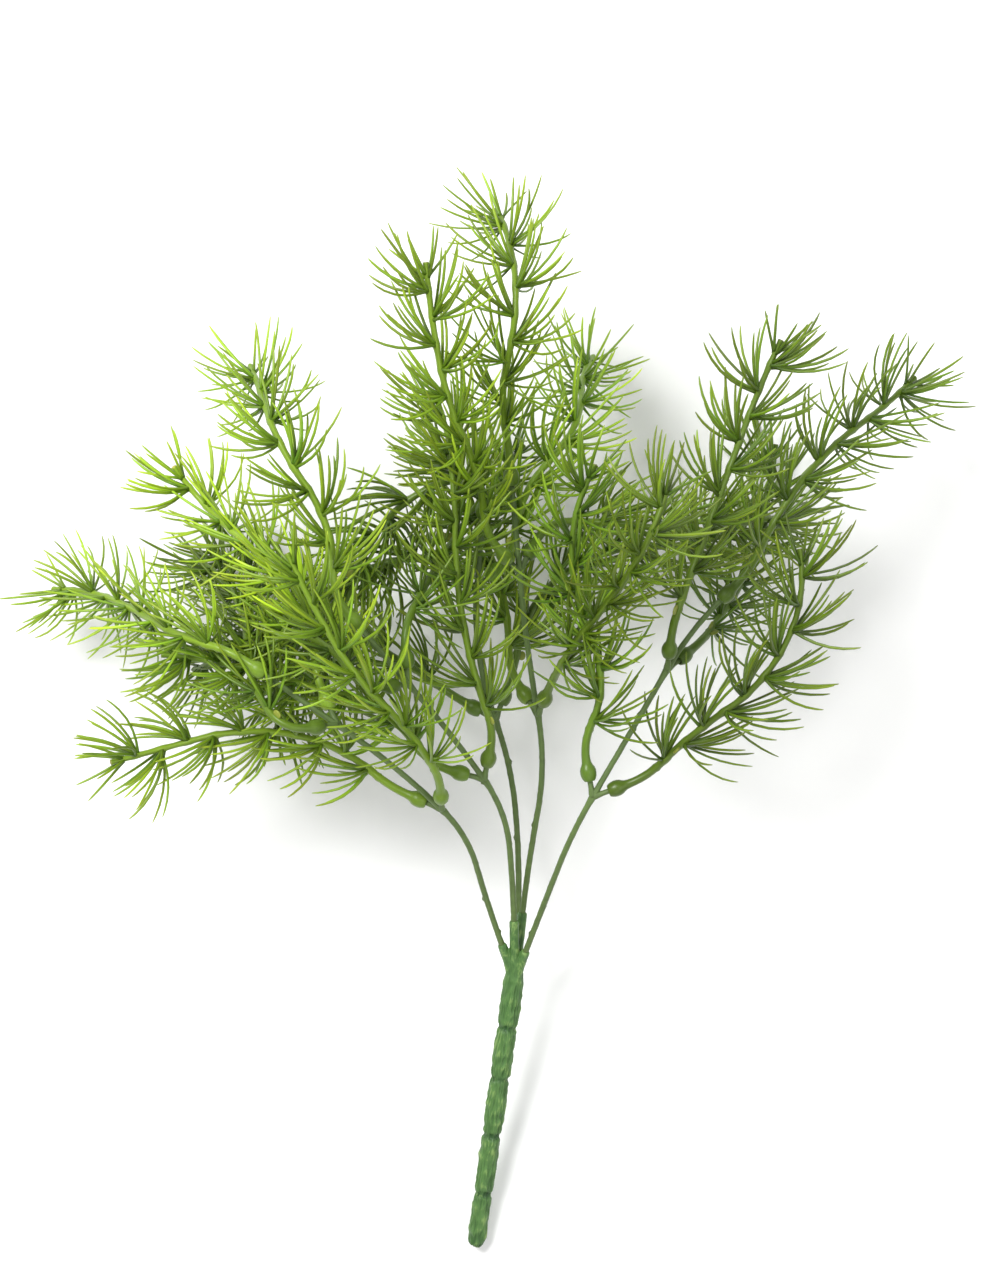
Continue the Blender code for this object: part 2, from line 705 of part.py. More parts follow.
def main():
    """Builds the bunch."""
    clear_scene()
    scene = bpy.context.scene
    bunch = bpy.data.collections.new("asparagus_fern_bunch")
    tool_room = bpy.data.collections.new("cutters")
    scene.collection.children.link(bunch)
    scene.collection.children.link(tool_room)
    tool_room.hide_render = True

    handle = make_handle_body()
    parts = [add_part(bunch, "handle", handle, plastic("handle", HANDLE_COLOUR, 0.5))]
    cutters = []
    for mesh, operation in handle_tools():
        cutter = bpy.data.objects.new(mesh.name, mesh)
        cutter.hide_render = True
        cutter.display_type = "WIRE"
        tool_room.objects.link(cutter)
        cutters.append(cutter)
        add_boolean(handle, cutter, operation)

    for number in STEM_BENDS:
        name = f"stem_{number}"
        parts.append(add_part(bunch, name, make_stem(number), plastic(name, STEM_COLOUR, 0.45)))
    for number in STEM_BENDS:
        name = f"wire_{number}"
        route = stem_route(number)
        points = [route.at(along)[0] for along in wire_lengths(number)]
        wire = curve_tube(name, points, WIRE_RADIUS)
        parts.append(add_part(bunch, name, wire, plastic(name, WIRE_COLOUR, 0.35, 1.0)))

    room = Room()
    sprigs = all_sprig_routes()
    fill_room(room, sprigs)
    for name, route in sprigs.items():
        mesh = make_sprig(room, name, route)
        node = f"sprig_{name}"
        parts.append(add_part(bunch, node, mesh, plastic(node, SPRIG_COLOUR, 0.4)))

    lay_on_origin(parts, cutters)


main()
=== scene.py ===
"""Looks of an artificial asparagus fern bunch that lies on a pale table.

A segmented plastic handle holds five forked stems, and a fern sprig is pushed on to each peg of the
forks and on to each stem's end pin. The bent lengths are integrated from the same headings and
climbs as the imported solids, so every detailed piece lies where its solid lies.
"""

import logging
import math
from dataclasses import dataclass, field
from enum import Enum
from typing import ClassVar

import bpy
import numpy as np
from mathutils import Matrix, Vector, noise


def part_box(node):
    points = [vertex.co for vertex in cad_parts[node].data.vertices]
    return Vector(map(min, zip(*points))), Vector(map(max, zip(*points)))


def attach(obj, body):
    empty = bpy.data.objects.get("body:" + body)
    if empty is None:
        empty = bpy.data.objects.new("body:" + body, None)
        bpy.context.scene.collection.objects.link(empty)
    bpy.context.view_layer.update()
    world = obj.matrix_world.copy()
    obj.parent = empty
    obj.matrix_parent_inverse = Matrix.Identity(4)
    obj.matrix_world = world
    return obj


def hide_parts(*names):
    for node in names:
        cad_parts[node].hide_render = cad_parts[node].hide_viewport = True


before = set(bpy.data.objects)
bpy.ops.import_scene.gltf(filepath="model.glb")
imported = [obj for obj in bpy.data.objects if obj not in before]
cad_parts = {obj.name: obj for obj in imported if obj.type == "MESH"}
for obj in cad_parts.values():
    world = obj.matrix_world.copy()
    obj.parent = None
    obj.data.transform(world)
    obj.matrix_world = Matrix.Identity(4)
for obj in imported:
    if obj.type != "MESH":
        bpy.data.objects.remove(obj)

LOG = logging.getLogger("fern_bunch")
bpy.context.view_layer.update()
MM = 0.001
Vec = np.ndarray
Pair = tuple[float, float]


def linear(code: str) -> Vec:
    """Turns a display colour's six hexadecimal digits into red, green and blue in linear light."""
    shown = np.array([int(code[i : i + 2], 16) / 255 for i in (0, 2, 4)])
    return np.where(shown <= 0.04045, shown / 12.92, ((shown + 0.055) / 1.055) ** 2.4)


def direction(heading: float | Vec, climb: float | Vec) -> Vec:
    """Unit vectors from angles.

    Args:
        heading: degrees to the right of +Y.
        climb: degrees above the table.

    Returns:
        One vector for each pair of angles.
    """
    heading, climb = np.radians(heading), np.radians(climb)
    level = np.cos(climb)
    return np.stack([np.sin(heading) * level, np.cos(heading) * level, np.sin(climb)], axis=-1)


def side_axes(tangent: Vec) -> tuple[Vec, Vec]:
    """The level axis to the right of a direction, and the axis over it.

    Args:
        tangent: unit vector along a piece.

    Returns:
        The two unit axes.
    """
    right = np.cross(tangent, (0.0, 0.0, 1.0))
    right /= np.linalg.norm(right)
    return right, np.cross(right, tangent)


def turns(sides: int) -> Vec:
    """Angles of a ring's corners, in radians."""
    return np.arange(sides) * 2 * math.pi / sides


def ring_about(axis: Vec, sides: int) -> Vec:
    """Corners of a unit ring square to an axis.

    Args:
        axis: unit vector through the ring.
        sides: number of corners.

    Returns:
        The corners, from the ring's centre.
    """
    right, over = side_axes(axis)
    turn = turns(sides)
    return np.outer(np.cos(turn), right) + np.outer(np.sin(turn), over)


def ramp(value: float, low: float, high: float) -> float:
    """How far a value has come from low to high, from 0 to 1."""
    return min(max((value - low) / (high - low), 0), 1)


def swell(distance: float, width: float) -> float:
    """Height of a smooth bump, 1 at its middle and near 0 at twice its width."""
    return math.exp(-((distance / width) ** 2))


class Route:
    """A bent piece's centreline, found from its length by interpolation."""

    STEPS_PER_M = 1000

    def __init__(self, start: Vec, marks: list[float], headings: list, climbs: list) -> None:
        """Integrates the route.

        Args:
            start: where the route starts.
            marks: lengths at which the angles are given.
            headings: degrees to the right of +Y at each mark.
            climbs: degrees above the table at each mark.
        """
        count = int(round((marks[-1] - marks[0]) * self.STEPS_PER_M)) + 1
        self.along = np.linspace(marks[0], marks[-1], count)
        angles = [np.interp(self.along, marks, given) for given in (headings, climbs)]
        self.tangents = direction(*angles)
        step = self.along[1] - self.along[0]
        middles = (self.tangents[:-1] + self.tangents[1:]) * 0.5 * step
        self.points = np.vstack([np.zeros(3), np.cumsum(middles, axis=0)]) + start
        self.roll = 0.0

    def axes(self, tangent: Vec) -> tuple[Vec, Vec]:
        """The axes to the right of a tangent and over it, turned by the piece's roll.

        Args:
            tangent: unit vector along the piece.

        Returns:
            The two unit axes.
        """
        right, over = side_axes(tangent)
        turn = math.radians(self.roll)
        along = right * math.cos(turn) + over * math.sin(turn)
        return along, np.cross(along, tangent)

    def at(self, along: float) -> tuple[Vec, Vec]:
        """Point and unit tangent at a length, straight on beyond either end.

        Args:
            along: length on the route.

        Returns:
            The point and the tangent.
        """
        inside = min(max(along, self.along[0]), self.along[-1])
        point = np.array([np.interp(inside, self.along, axis) for axis in self.points.T])
        tangent = np.array([np.interp(inside, self.along, axis) for axis in self.tangents.T])
        tangent /= np.linalg.norm(tangent)
        return point + tangent * (along - inside), tangent

    def section(self, along: float, radii: Vec) -> Vec:
        """Places a ring square to the route.

        Args:
            along: length on the route.
            radii: distance of each corner from the centreline.

        Returns:
            The corners in space.
        """
        centre, tangent = self.at(along)
        right, over = self.axes(tangent)
        turn = turns(radii.size)
        return centre + np.outer(np.cos(turn) * radii, right) + np.outer(np.sin(turn) * radii, over)


@dataclass
class BunchLayout:
    """Lengths and bends that place every piece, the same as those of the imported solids."""

    handle_length: float = 91 * MM
    handle_heading: float = 8.0
    handle_climb: float = 13.0
    handle_tip_radius: float = 3.1 * MM
    wire_floor: float = 12 * MM
    wire_margin: float = 6 * MM
    wire_ring: float = 0.75 * MM
    wire_angles: dict = field(
        default_factory=lambda: {1: 170.0, 2: 98.0, 3: -118.0, 4: -46.0, 5: 26.0}
    )
    shanks: dict = field(
        default_factory=lambda: {1: 80 * MM, 2: 84 * MM, 3: 91 * MM, 4: 98 * MM, 5: 84 * MM}
    )
    fork_pitch: float = 48 * MM
    end_length: float = 28 * MM
    peg_spread: float = 40.0
    peg_standoff: float = 5.4 * MM
    fit_gap: float = 0.3 * MM
    first_bend: float = 12 * MM
    middle_bend: float = 0.66  # share of the shank
    mirrored_fork: tuple = (1, "ab")
    sprig_length: float = 110 * MM
    straight_socket: float = 6 * MM
    neck_end: float = 20 * MM
    stem_bends: ClassVar[dict] = {
        1: ((-20, -15, -45, -55, -55), (30, 40, 30, 20, 0)),
        2: ((0, -5, -35, -40, -40), (30, 30, 30, 40, 25)),
        3: ((5, -5, -20, 5, 5), (5, 0, 0, 40, 30)),
        4: ((5, 10, -10, -5, -5), (20, 20, 15, 10, 5)),
        5: ((20, 20, 30, 30, 45), (35, 40, 10, 5, 0)),
    }
    fork_turns: ClassVar[dict] = {
        1: (55, -35), 2: (15, -30), 3: (0, -20), 4: (55, -35), 5: (-5, -60)
    }  # fmt: skip
    sprig_bends: ClassVar[dict] = {
        "1a": ((-30, -45, -30, -25), (40, 35, 10, 0)),
        "1b": ((-50, -80, -105, -105), (-5, 15, 0, 25)),
        "1c": ((-40, -5, -30, -60), (-35, -50, -60, -30)),
        "1d": ((0, -50, -50, -35), (-20, -10, -60, 25)),
        "1e": ((-75, -60, -70, -90), (-25, -55, -60, -25)),
        "2a": ((-35, -75, -75, -85), (-5, 10, 5, 0)),
        "2b": ((-20, -10, 0, -10), (20, 0, 10, -10)),
        "2c": ((-35, -80, -125, -105), (-35, -50, -45, -60)),
        "2d": ((25, 30, 35, 40), (-55, -50, -35, -25)),
        "2e": ((0, -35, -20, -25), (-5, 25, -55, -55)),
        "3a": ((-55, -65, -55, -60), (-25, 15, -20, -10)),
        "3b": ((10, 55, 90, 70), (-5, 5, -10, -15)),
        "3c": ((-90, -130, -160, -175), (0, -25, -25, 10)),
        "3d": ((5, 45, 0, 35), (45, -5, -60, -60)),
        "3e": ((-100, -140, -165, -140), (30, -35, 0, -30)),
        "4a": ((0, -20, -20, -15), (-25, 5, -5, 10)),
        "4b": ((30, 40, 30, 15), (50, 45, 50, -30)),
        "4c": ((-5, -25, -10, -5), (30, 35, 20, 5)),
        "4d": ((90, 100, 70, 105), (0, 10, -45, -55)),
        "4e": ((-10, 15, -5, -25), (40, 50, -35, -45)),
        "5a": ((25, -25, 0, 30), (30, 5, 25, 10)),
        "5b": ((45, 55, 25, -10), (25, 20, 10, 0)),
        "5c": ((20, 20, 20, 25), (0, 5, 5, 10)),
        "5d": ((40, 35, 15, 5), (-60, -60, -15, 5)),
        "5e": ((25, 40, 55, 45), (10, -20, -40, -30)),
    }
    sprig_rolls: ClassVar[dict] = {"1b": 180, "5b": 180, "5c": 180, "5e": 180}

    def __post_init__(self) -> None:
        """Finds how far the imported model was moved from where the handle's tip is at zero."""
        self.shift = np.zeros(3)
        moves = []
        for number in self.shanks:
            route = self.stem_route(number)
            wire = route.points[route.along <= self.shanks[number] - self.wire_margin]
            low, high = (np.array(corner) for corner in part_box(f"wire_{number}"))
            moves.append((low + high) / 2 - (wire.min(axis=0) + wire.max(axis=0)) / 2)
        self.shift = np.mean(moves, axis=0)

    def handle_axis(self) -> tuple[Vec, Vec]:
        """Centre of the handle's free end and its direction."""
        height = self.handle_tip_radius / math.cos(math.radians(self.handle_climb))
        tip = np.array([0.0, 0.0, height]) + self.shift
        return tip, direction(self.handle_heading, self.handle_climb)

    def stem_route(self, number: int) -> Route:
        """A stem's route, with zero length at the handle's top.

        Args:
            number: the stem, from 1 to 5.

        Returns:
            The route from inside the handle to the stem's end.
        """
        tip, axis = self.handle_axis()
        right, over = side_axes(axis)
        angle = math.radians(self.wire_angles[number])
        ring = self.wire_ring * (right * math.cos(angle) + over * math.sin(angle))
        shank = self.shanks[number]
        marks = [self.wire_floor - self.handle_length, 0, self.first_bend]
        marks += [shank * self.middle_bend, shank]
        marks += [shank + self.fork_pitch, self.stem_length(number)]
        headings, climbs = self.stem_bends[number]
        return Route(
            tip + axis * self.wire_floor + ring,
            marks,
            [self.handle_heading, self.handle_heading, *headings],
            [self.handle_climb, self.handle_climb, *climbs],
        )

    def stem_length(self, number: int) -> float:
        """Length of a stem above the handle's top."""
        return self.shanks[number] + self.fork_pitch + self.end_length

    def pegs(self, number: int) -> list[tuple[str, float, Vec]]:
        """The pegs of one stem.

        Args:
            number: the stem, from 1 to 5.

        Returns:
            For each peg its sprig's letter, its length on the stem's route and its direction.
        """
        route = self.stem_route(number)
        found = []
        for letters, place, turn in zip(("ab", "cd"), (0, self.fork_pitch), self.fork_turns[number]):
            along = self.shanks[number] + place
            tangent = route.at(along)[1]
            right, over = side_axes(tangent)
            out = right * math.cos(math.radians(turn)) + over * math.sin(math.radians(turn))
            sides = (1, -1) if (number, letters) == self.mirrored_fork else (-1, 1)
            spread = math.radians(self.peg_spread)
            for letter, side in zip(letters, sides):
                aim = tangent * math.cos(spread) + out * side * math.sin(spread)
                found.append((letter, along, aim))
        return found

    def sprig_route(self, start: Vec, aim: Vec, name: str) -> Route:
        """A sprig's route: straight in its socket, then bent.

        Args:
            start: the socket's mouth.
            aim: the socket's direction.
            name: the sprig's name.

        Returns:
            The route from the socket's mouth to the cut tip.
        """
        headings, climbs = self.sprig_bends[name]
        heading = math.degrees(math.atan2(aim[0], aim[1]))
        heading = headings[0] + (heading - headings[0] + 180) % 360 - 180
        climb = math.degrees(math.asin(aim[2]))
        pitch = (self.sprig_length - self.neck_end) / (len(headings) - 1)
        marks = [0, self.straight_socket] + [self.neck_end + pitch * i for i in range(len(headings))]
        route = Route(start, marks, [heading, heading, *headings], [climb, climb, *climbs])
        route.roll = self.sprig_rolls.get(name, 0)
        return route

    def sprig_routes(self) -> dict[str, Route]:
        """Every sprig's name and route, in order."""
        routes = {}
        for number in self.shanks:
            stem = self.stem_route(number)
            for letter, along, aim in self.pegs(number):
                start = stem.at(along)[0] + aim * self.peg_standoff
                routes[f"{number}{letter}"] = self.sprig_route(start, aim, f"{number}{letter}")
            end, tangent = stem.at(self.stem_length(number) + self.fit_gap)
            routes[f"{number}e"] = self.sprig_route(end, tangent, f"{number}e")
        return dict(sorted(routes.items()))


def paint(mesh: bpy.types.Mesh, tints: Vec, skins: Vec) -> None:
    """Stores a tint and a skin place on each point of a mesh.

    Args:
        mesh: the mesh.
        tints: linear colours.
        skins: places in the grain.
    """
    colours = np.hstack([np.clip(tints, 0, 1), np.ones((len(tints), 1))])
    tint = mesh.color_attributes.new("tint", "FLOAT_COLOR", "POINT")
    tint.data.foreach_set("color", colours.ravel())
    skin = mesh.attributes.new("skin", "FLOAT_VECTOR", "POINT")
    skin.data.foreach_set("vector", skins.ravel())


def linked(name: str, data: bpy.types.ID) -> bpy.types.Object:
    """Makes an object of a mesh, a light or a camera, and links it to the scene."""
    made = bpy.data.objects.new(name, data)
    bpy.context.scene.collection.objects.link(made)
    return made


class Moulding:
    """Gathers closed shells with a tint and a skin place for each point, and makes one object."""

    SEED_SKEW = 0.37

    def __init__(self, name: str) -> None:
        """Starts an empty moulding.

        Args:
            name: the object's name.
        """
        self.name = name
        self.points: list[Vec] = []
        self.tints: list[Vec] = []
        self.skins: list[Vec] = []
        self.faces: list[tuple] = []
        self.count = 0

    def add_tube(self, rings: Vec, tints: Vec, along: Vec, seed: float = 0.0) -> None:
        """Adds a tube that is capped at both ends.

        Args:
            rings: points as stations by sides by 3.
            tints: a linear colour for each station, or for each station and side.
            along: length of each station, for the skin's grain.
            seed: moves the grain so that two tubes differ.
        """
        stations, sides = rings.shape[:2]
        if tints.ndim == 2:
            tints = np.repeat(tints[:, None], sides, axis=1)
        turn = turns(sides)
        size = np.linalg.norm(rings - rings.mean(axis=1, keepdims=True), axis=2)
        skin = np.stack(
            [
                np.cos(turn) * size + seed,
                np.sin(turn) * size + seed * self.SEED_SKEW,
                np.repeat(np.asarray(along)[:, None], sides, axis=1),
            ],
            axis=2,
        )
        first = self.count
        ring = np.arange(sides)
        following = (ring + 1) % sides
        for station in range(stations - 1):
            low, high = first + station * sides, first + (station + 1) * sides
            quads = np.stack([low + ring, low + following, high + following, high + ring], axis=1)
            self.faces += quads.tolist()
        self.faces.append(list(range(first + sides - 1, first - 1, -1)))
        self.faces.append(list(range(first + (stations - 1) * sides, first + stations * sides)))
        self.points.append(rings.reshape(-1, 3))
        self.tints.append(tints.reshape(-1, 3))
        self.skins.append(skin.reshape(-1, 3))
        self.count += stations * sides

    def finished(self, material: bpy.types.Material) -> bpy.types.Object:
        """Makes the object.

        Args:
            material: the finish of every shell.

        Returns:
            The new object, smooth shaded and linked to the scene.
        """
        mesh = bpy.data.meshes.new(self.name)
        mesh.from_pydata(np.vstack(self.points).tolist(), [], self.faces)
        paint(mesh, np.vstack(self.tints), np.vstack(self.skins))
        mesh.shade_smooth()
        mesh.materials.append(material)
        return linked(self.name, mesh)


class ShaderBench:
    """One new material, with a short way to add and link its nodes."""

    def __init__(self, name: str) -> None:
        """Starts the material.

        Args:
            name: the material's name.
        """
        self.made = bpy.data.materials.new(name)
        self.made.use_nodes = True
        self.shader = self.made.node_tree.nodes["Principled BSDF"]

    def add(self, kind: str, output: int | str = 0, **values: object) -> bpy.types.NodeSocket:
        """Adds a node.

        Args:
            kind: the end of the node type's name.
            output: which of its outputs is wanted.
            values: what it is set up with, as in fill.

        Returns:
            The output.
        """
        node = self.made.node_tree.nodes.new(f"ShaderNode{kind}")
        self.fill(node, **values)
        return node.outputs[output]

    def fill(self, node: bpy.types.Node, **values: object) -> None:
        """Sets a node up.

        Args:
            node: the node.
            values: its settings, in small letters, and its sockets, with a capital and underscores
                for spaces, each with a value or with the output that it is linked to.
        """
        for name, value in values.items():
            if name[0].islower():
                setattr(node, name, value)
                continue
            socket = node.inputs[name.replace("_", " ")]
            if isinstance(value, bpy.types.NodeSocket):
                self.made.node_tree.links.new(value, socket)
            else:
                socket.default_value = value


@dataclass(frozen=True)
class MouldedPlastic:
    """Satin moulded plastic whose colour is painted on the points.

    The grain is drawn out along the piece, mottles the colour and the gloss, and stands up a little.
    """

    name: str
    roughness: Pair = (0.28, 0.46)
    mottle: float = 0.22
    grain: Pair = (2600.0, 260.0)
    relief: float = 0.00006
    glow: float = 0.0
    fine: float = 5200.0
    specular: float = 0.32
    glow_reach: tuple = (0.6, 1.0, 0.25)
    glow_depth: float = 0.0012

    def material(self) -> bpy.types.Material:
        """Builds the node material."""
        bench = ShaderBench(self.name)
        tint = bench.add("Attribute", "Color", attribute_name="tint")
        skin = bench.add("Attribute", "Vector", attribute_name="skin")
        drawn_out = bench.add("Mapping", Vector=skin, Scale=(self.grain[0], *self.grain))
        streaks = bench.add("TexNoise", Vector=drawn_out, Scale=1.0, Detail=3.0)
        low, high = 1.0 - self.mottle, 1.0 + self.mottle
        shade = bench.add("MapRange", Value=streaks, To_Min=low, To_Max=high)
        tone = bench.add("VectorMath", operation="SCALE", Vector=tint, Scale=shade)
        specks = bench.add("TexNoise", Vector=skin, Scale=self.fine, Detail=2.0)
        low, high = self.roughness
        gloss = bench.add("MapRange", Value=specks, From_Min=0.3, From_Max=0.7, To_Min=low, To_Max=high)
        relief = bench.add("Bump", Height=streaks, Strength=1.0, Distance=self.relief)
        bench.fill(bench.shader, Base_Color=tone, Roughness=gloss, Normal=relief)
        bench.fill(bench.shader, Specular_IOR_Level=self.specular, Subsurface_Weight=self.glow)
        bench.fill(bench.shader, Subsurface_Radius=self.glow_reach, Subsurface_Scale=self.glow_depth)
        return bench.made


@dataclass(frozen=True)
class DrawnSteel:
    """Plain drawn wire with fine marks."""

    name: str = "drawn_steel"
    roughness: Pair = (0.28, 0.42)
    greys: Pair = (0.36, 0.52)
    fine: float = 3000.0

    def material(self) -> bpy.types.Material:
        """Builds the node material."""
        bench = ShaderBench(self.name)
        marks = bench.add("TexNoise", Vector=bench.add("TexCoord", "Object"), Scale=self.fine)
        grey = bench.add("MapRange", Value=marks, To_Min=self.greys[0], To_Max=self.greys[1])
        low, high = self.roughness
        gloss = bench.add("MapRange", Value=marks, To_Min=low, To_Max=high)
        bench.fill(bench.shader, Metallic=1.0, Base_Color=grey, Roughness=gloss)
        return bench.made


class Finish(Enum):
    """The finishes of the bunch's pieces."""

    SPRIG = MouldedPlastic("sprig_plastic", glow=0.06)
    STEM = MouldedPlastic(
        "stem_plastic", roughness=(0.34, 0.6), mottle=0.5, grain=(2200.0, 90.0), relief=0.0001
    )
    HANDLE = MouldedPlastic(
        "handle_plastic", roughness=(0.36, 0.56), mottle=0.3, grain=(1700.0, 170.0), relief=0.00014
    )
    WIRE = DrawnSteel()


@dataclass(frozen=True)
class Palette:
    """Display colours of the plastic pieces, six hexadecimal digits each."""

    # The needle's root colour is darker than its body, partly the plastic's own tone and partly painted
    # shade near the stem.
    needle_root: str = "527518"
    needle_body: str = "708F1C"
    needle_tip: str = "839D27"
    sprig_stem: str = "6A8826"
    socket: str = "5D7A25"
    stub: str = "7B7E2E"
    tab: str = "96A240"
    stem: str = "566A39"
    handle: str = "4E723A"
    # The next colour is painted shade in the handle's waists and wrinkle hollows; the one after it is
    # painted highlight on the handle's crests.
    handle_groove_painted_shade: str = "294A23"
    handle_crest_painted_highlight: str = "7C9955"
    handle_tip: str = "836344"


class Clearance:
    """The bunch's stems and sprigs as thin rods, to keep needles from running through them."""

    def __init__(self, pieces: dict[str, tuple[Route, Vec, Vec]]) -> None:
        """Cuts every piece into rods.

        Args:
            pieces: each piece's centreline, the lengths between which its rods run, and their radii.
        """
        starts, spans, radii, owners = [], [], [], []
        for name, (route, stops, sizes) in pieces.items():
            places = np.array([route.at(stop)[0] for stop in stops])
            starts.append(places[:-1])
            spans.append(np.diff(places, axis=0))
            radii.append(sizes[: len(stops) - 1])
            owners += [name] * (len(stops) - 1)
        self.starts, self.spans = np.vstack(starts), np.vstack(spans)
        self.radii, self.owners = np.concatenate(radii), np.array(owners)
        self.square = np.einsum("ij,ij->i", self.spans, self.spans)

    def gap(self, owner: str, points: Vec) -> float:
        """Smallest gap from points to the rods of other pieces.

        Args:
            owner: the piece that the points belong to.
            points: places along a needle.

        Returns:
            The gap, which is negative inside a rod.
        """
        other = self.owners != owner
        start, span = self.starts[other], self.spans[other]
        apart = points[:, None] - start[None]
        share = np.clip(np.einsum("pij,ij->pi", apart, span) / self.square[other], 0, 1)
        near = np.linalg.norm(apart - share[..., None] * span[None], axis=2)
        return float((near - self.radii[other]).min())


@dataclass
class Needle:
    """One needle: how it leaves its fan, and how long and thick it is."""

    splay: float
    tilt: float
    length: float
    radius: float
    curl: float
    sway: float

    STATIONS = (0.0, 0.06, 0.18, 0.36, 0.56, 0.75, 0.9, 0.975, 1.0)
    WIDTHS = (1.5, 1.25, 1.06, 1.0, 0.97, 0.88, 0.7, 0.42, 0.16)
    SIDES = 6
    FLATNESS = 0.72
    REST_HEIGHT = 0.9  # of a needle that lies on the table, as a share of its radius
    PRESSED = 0.02  # share left of how far it would reach into the table

    def line(self, root: Vec, axes: tuple[Vec, Vec, Vec], side: int) -> Vec:
        """The needle's bent centreline.

        Args:
            root: where it leaves the stem.
            axes: the stem's tangent, the level axis to its right and the axis over it.
            side: 1 for a fan on the right and -1 for one on the left.

        Returns:
            A point for each of the needle's stations.
        """
        tangent, right, over = axes
        shares = np.array(self.STATIONS)
        middles = (shares[1:] + shares[:-1]) / 2
        splay = np.radians(self.splay - self.curl * middles)
        tilt = np.radians(self.tilt + self.sway * middles)
        out = np.outer(np.cos(tilt) * side, right) + np.outer(np.sin(tilt), over)
        aims = np.outer(np.cos(splay), tangent) + out * np.sin(splay)[:, None]
        steps = aims * np.diff(shares)[:, None] * self.length
        line = np.vstack([np.zeros(3), np.cumsum(steps, axis=0)]) + root
        low = self.radius * self.REST_HEIGHT
        heights = line[:, 2]
        line[:, 2] = np.where(heights < low, low + self.PRESSED * (heights - low), heights)
        return line

    def rings(self, line: Vec, over: Vec) -> Vec:
        """The needle's cross-sections, flattened across the fan.

        Args:
            line: its centreline.
            over: the axis over the stem.

        Returns:
            Points as stations by sides by 3.
        """
        tangents = np.gradient(line, axis=0)
        tangents /= np.linalg.norm(tangents, axis=1, keepdims=True)
        across = np.cross(tangents, over)
        across /= np.linalg.norm(across, axis=1, keepdims=True)
        upright = np.cross(across, tangents)
        turn = turns(self.SIDES)
        widths = np.array(self.WIDTHS) * self.radius
        level = np.cos(turn)[None, :, None] * across[:, None]
        high = np.sin(turn)[None, :, None] * upright[:, None] * self.FLATNESS
        return line[:, None] + (level + high) * widths[:, None, None]


@dataclass(frozen=True)
class NeedleSpread:
    """How the needles of one kind vary: their angles in degrees, and their shares of full size."""

    splay: float
    tilt: float
    lengths: Pair
    radii: Pair
    curl_base: float
    curl_share: float
    curl: float
    sway: float


